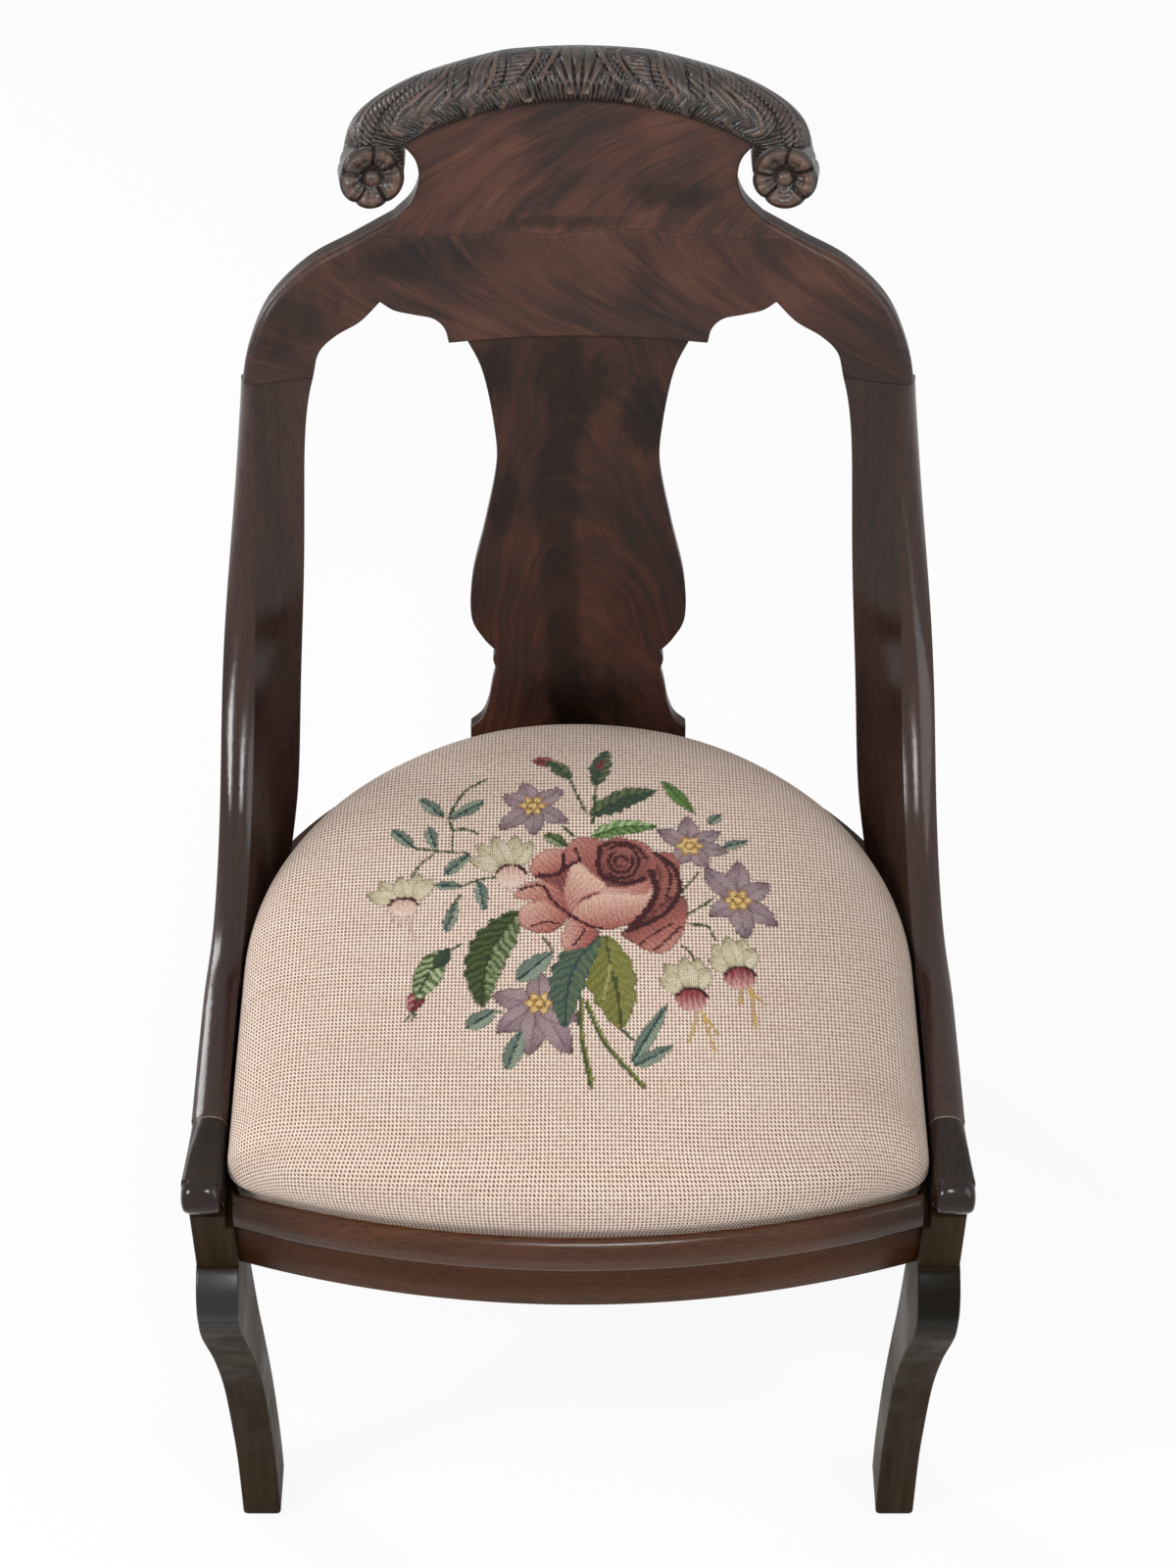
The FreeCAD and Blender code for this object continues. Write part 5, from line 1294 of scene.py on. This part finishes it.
# Section of the rail as distance from the centre of its bow and height: back and bottom, face, round bead
RAIL_BACK = ((648.0, 404.6), (648.0, 383.0), (632.0, 383.0), (632.0, 345.0), (652.6, 345.0))
RAIL_FACE = ((653.5, 345.4), (654.0, 346.6), (654.0, 365.0), (654.0, 386.0), (657.9, 386.0))
RAIL_BEAD = (
    (657.9, 386.0), (658.3, 386.5), (658.6, 388.0), (658.6, 391.0), (658.5, 394.6), (657.8, 398.0),
    (655.8, 401.4), (653.0, 403.9), (650.4, 405.0), (648.4, 405.0),
)
LEG_BLOCK = ((395.0, 203.0), (383.0, 203.0), (383.0, 198.5), (345.6, 198.5))
LEG_FRONT = 8.0
LEG_REAR = 46.0
LEG_FACE = (
    (6.0, 345.6), (0.5, 342.5), (-7.0, 336.5), (-11.8, 328.0), (-13.0, 318.0), (-8.0, 293.3), (20.0, 227.0),
    (39.0, 167.0), (48.0, 103.5), (50.5, 58.7), (46.0, 0.0),
)
LEG_BACK = ((83, 0), (86, 44.9), (81, 117), (70, 181), (61, 225), (53, 281), (46, 345))
LEG_INNER = 198.5
LEG_ROUND = 1.8
FOOT_ROUND = 6.0
CORNER_STEPS = 5
KNEE_STEPS = (298.0, 310.0, 322.0)


def bowed_rail(material, bead_material):
    """The bowed front rail: a plain face, and above it a round bead that stands out by a small ledge."""
    section = np.vstack([RAIL_BACK, RAIL_FACE, flowing(RAIL_BEAD, 36)[1:]])
    turn = np.linspace(-1, 1, 161)[:, None] * np.arcsin(RAIL_HALF / section[:, 0])
    x = section[:, 0] * np.sin(turn)
    y = BOW_CENTRE - section[:, 0] * np.cos(turn) - ORIGIN_SETBACK
    points = np.stack([x, y, np.broadcast_to(section[:, 1], x.shape)], axis=-1).reshape(-1, 3)
    rows, columns = x.shape
    faces = [face[::-1] for face in tube_faces(rows, columns)]
    piece = new_piece("bowed_rail", points, faces, material, "mahogany", ("front_seat_rail",))
    paint_columns(piece, bead_material, rows, columns, len(RAIL_BACK) + len(RAIL_FACE) - 1)


def shaped_leg(name, side, material, inner_material, knee_materials):
    """A front leg: a square block, a fine edge, a swelling knee, a curved shank and a round foot."""
    face = flowing(LEG_FACE, 100)
    back = flowing(LEG_BACK, 60)
    levels = [(height, LEG_FRONT, LEG_REAR, inner, 0.0) for height, inner in LEG_BLOCK]
    foot = FOOT_ROUND * (1 - np.sin(np.linspace(0, np.pi / 2, 9)))
    for height in np.append(face[face[:, 1] > FOOT_ROUND + 1, 1], foot):
        front = np.interp(height, face[::-1, 1], face[::-1, 0])
        rear = np.interp(height, back[:, 1], back[:, 0])
        lift = max(FOOT_ROUND - height, 0.0)
        levels.append((height, front, rear, LEG_INNER, FOOT_ROUND - math.sqrt(FOOT_ROUND**2 - lift**2)))
    turn = np.linspace(0, np.pi / 2, CORNER_STEPS)
    around = 4 * CORNER_STEPS
    rings = []
    for height, front, rear, inner, tuck in levels:
        size = LEG_ROUND + tuck * 0.5
        inset = size + tuck
        left, right, low, high = inner + inset, ARM_OUTER - inset, front + inset, rear - inset
        centres = ((right, high), (left, high), (left, low), (right, low))
        corners = [oval(centre, size, size, turn + step * np.pi / 2) for step, centre in enumerate(centres)]
        x, y = np.vstack(corners).T
        rings.append(np.column_stack([x * side, y - ORIGIN_SETBACK, np.full(around, height)]))
    faces = tube_faces(len(rings), around)
    replaced = (name.replace("shaped", "front"),)
    piece = new_piece(name, np.vstack(rings), faces, material, "mahogany", replaced)

    def wood(face):
        """The leg's own wood, its inner side in a lighter colour of painted light, or a polish for each step
        up the knee.

        The faces of the right leg still point inwards here, so its polish lies behind the knee.
        """
        if not len(LEG_BLOCK) * around <= face.index < len(faces) - 2:
            return 0
        # The inner side gets the wood with painted light, lighter than the rest of the leg
        if face.index % around == 2 * CORNER_STEPS - 1:
            return 1
        polished = sum(face.center.z / MM > step for step in KNEE_STEPS)
        return polished + 1 if polished and face.normal.y < -0.3 else 0

    paint_faces(piece, [inner_material, *knee_materials], wood)
    mesh = bmesh.new()
    mesh.from_mesh(piece.data)
    bmesh.ops.recalc_face_normals(mesh, faces=mesh.faces)
    mesh.to_mesh(piece.data)
    mesh.free()


def dust_cloth(material):
    """The thin cloth under the slip seat, tacked to its frame and sagging a little."""
    around = seat_outline(CLOTH_POINTS, SEAT_CORNER)
    centre = (around[:, 1].min() + around[:, 1].max()) / 2
    spokes = around - (0, centre)
    rings = []
    for share in np.linspace(CLOTH_SHARE, CLOTH_MIDDLE, CLOTH_RINGS):
        flat = spokes * share + (0, centre - ORIGIN_SETBACK)
        sag = CLOTH_SAG * (1 - (share / CLOTH_SHARE) ** 2)
        rings.append(np.column_stack([flat, np.full(len(flat), CLOTH_TOP - sag)]))
    faces = tube_faces(len(rings), len(around), (False, True))
    given = np.vstack(rings), faces, material, "hessian", ("dust_cover",), 60, None, SEAT_BODY
    piece = new_piece("dust_cloth", *given)


# Wood of the chair


def dress_frame():
    """Give each carried-over node its wood, with the grain along its length."""
    inner = plain_wood("secondary_wood", (0.20, 0.12, 0.06), (0.42, 0.28, 0.15))
    steel = metal("steel", (0.42, 0.41, 0.40))
    chosen = {"rear_seat_rail": mahogany("rail"), "corner_block_screws": steel, "cover_tacks": steel}
    for kind, wood in (("side_rail", "side"), ("stile", "sweep"), ("rear_leg", "leg")):
        material = mahogany(wood)
        chosen[kind + "_left"] = material
        chosen[kind + "_right"] = material
    for name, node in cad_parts.items():
        node.data.materials.clear()
        node.data.materials.append(chosen.get(name, inner))


# Studio

FLOOR_REACH = 12.0
FLOOR_DROP = 0.0005
FLOOR_WHITE = 0.88
WORLD_LIGHT = 0.45
LENS = 76.5
SENSOR_WIDTH = 36.0
LENS_SHIFT = 0.00625
CAMERA_AHEAD = 1.115
CAMERA_HEIGHT = 1.964
CAMERA_TILT = math.radians(43.0)
# Name, place, height aimed at, width, power and height of each lamp
LAMPS = (
    ("left_light", (-1.7, -1.0, 1.9), 0.45, 0.5, 22, 0.5),
    ("right_light", (1.7, -1.0, 1.9), 0.45, 1.4, 15, 1.4),
    ("middle_light", (0.1, -1.4, 2.6), 0.45, 0.5, 16, 0.5),
    ("left_rim_light", (-1.9, 1.2, 1.2), 0.6, 0.4, 18, 1.3),
)


def studio():
    """A white floor and world, seen as white but weaker as light, and four lamps."""
    nodes = Nodes("studio_floor")
    white = nodes.value("Emission", {"Color": (1, 1, 1), "Strength": 1.0})
    matte = nodes.value("BsdfDiffuse", {"Color": (0.9, 0.9, 0.9)})
    blend = nodes.value("MixShader", {0: nodes.seen() * FLOOR_WHITE, 1: matte, 2: white})
    nodes.feed(nodes.tree.nodes["Material Output"].inputs["Surface"], blend)
    mesh = bpy.data.meshes.new("floor")
    corners = ((-1, -1), (1, -1), (1, 1), (-1, 1))
    mesh.from_pydata([(x * FLOOR_REACH, y * FLOOR_REACH, 0) for x, y in corners], [], [(0, 1, 2, 3)])
    mesh.materials.append(nodes.owner)
    floor = bpy.data.objects.new("floor", mesh)
    floor.location.z = -FLOOR_DROP
    bpy.context.collection.objects.link(floor)

    world = Nodes("studio", "worlds")
    bpy.context.scene.world = world.owner
    background = world.tree.nodes["Background"]
    strength = world.value("MapRange", {"Value": world.seen(), "To Min": WORLD_LIGHT, "To Max": 1.0})
    world.feed(background.inputs["Color"], (1, 1, 1))
    world.feed(background.inputs["Strength"], strength)

    for name, place, aim, width, power, height in LAMPS:
        lamp = bpy.data.lights.new(name, "AREA")
        lamp.shape = "RECTANGLE"
        lamp.size = width
        lamp.size_y = height
        lamp.energy = power
        holder = bpy.data.objects.new(name, lamp)
        holder.location = place
        holder.rotation_euler = (Vector((0, 0, aim)) - Vector(place)).to_track_quat("-Z", "Y").to_euler()
        bpy.context.collection.objects.link(holder)


def camera():
    """The photograph's view: from in front and above, looking 47 degrees down."""
    lens = bpy.data.cameras.new("camera")
    lens.lens = LENS
    lens.sensor_width = SENSOR_WIDTH
    lens.shift_x = LENS_SHIFT
    holder = bpy.data.objects.new("camera", lens)
    holder.location = (0, -CAMERA_AHEAD - ORIGIN_SETBACK * MM, CAMERA_HEIGHT)
    holder.rotation_euler = (CAMERA_TILT, 0, 0)
    bpy.context.collection.objects.link(holder)
    bpy.context.scene.camera = holder


camera()
studio()
bpy.context.scene.view_settings.view_transform = "Standard"
dress_frame()
cushion(needlepoint())
board_edge = mahogany("board_edge")
crest(crest_veneer(), board_edge)
splat(splat_veneer(), board_edge)
carving = carved_wood()
carved_roll(carving, board_edge)
joint_dust = plain_wood("joint_dust", (0.16, 0.12, 0.09), (0.34, 0.28, 0.22))
arm_woods = (mahogany("arm_end"), mahogany("nose"), joint_dust)
terminal("rolled_terminal_left", -1, *arm_woods)
terminal("rolled_terminal_right", 1, *arm_woods)
bowed_rail(mahogany("front"), mahogany("bead"))
knees = [leg_wood(f"mahogany_knee_{index}", gloss) for index, gloss in enumerate((0.09, 0.18, 0.4), 1)]
leg_woods = (leg_wood("mahogany_front_leg", 0.05), mahogany("painted_light_side"), knees)
shaped_leg("shaped_leg_left", -1, *leg_woods)
shaped_leg("shaped_leg_right", 1, *leg_woods)
dust_cloth(woven("dust_cloth", (0.19, 0.15, 0.11), 1.1))
rosette("carved_rosette_left", -1, 2.2, carving)
rosette("carved_rosette_right", 1, 0.9, carving)
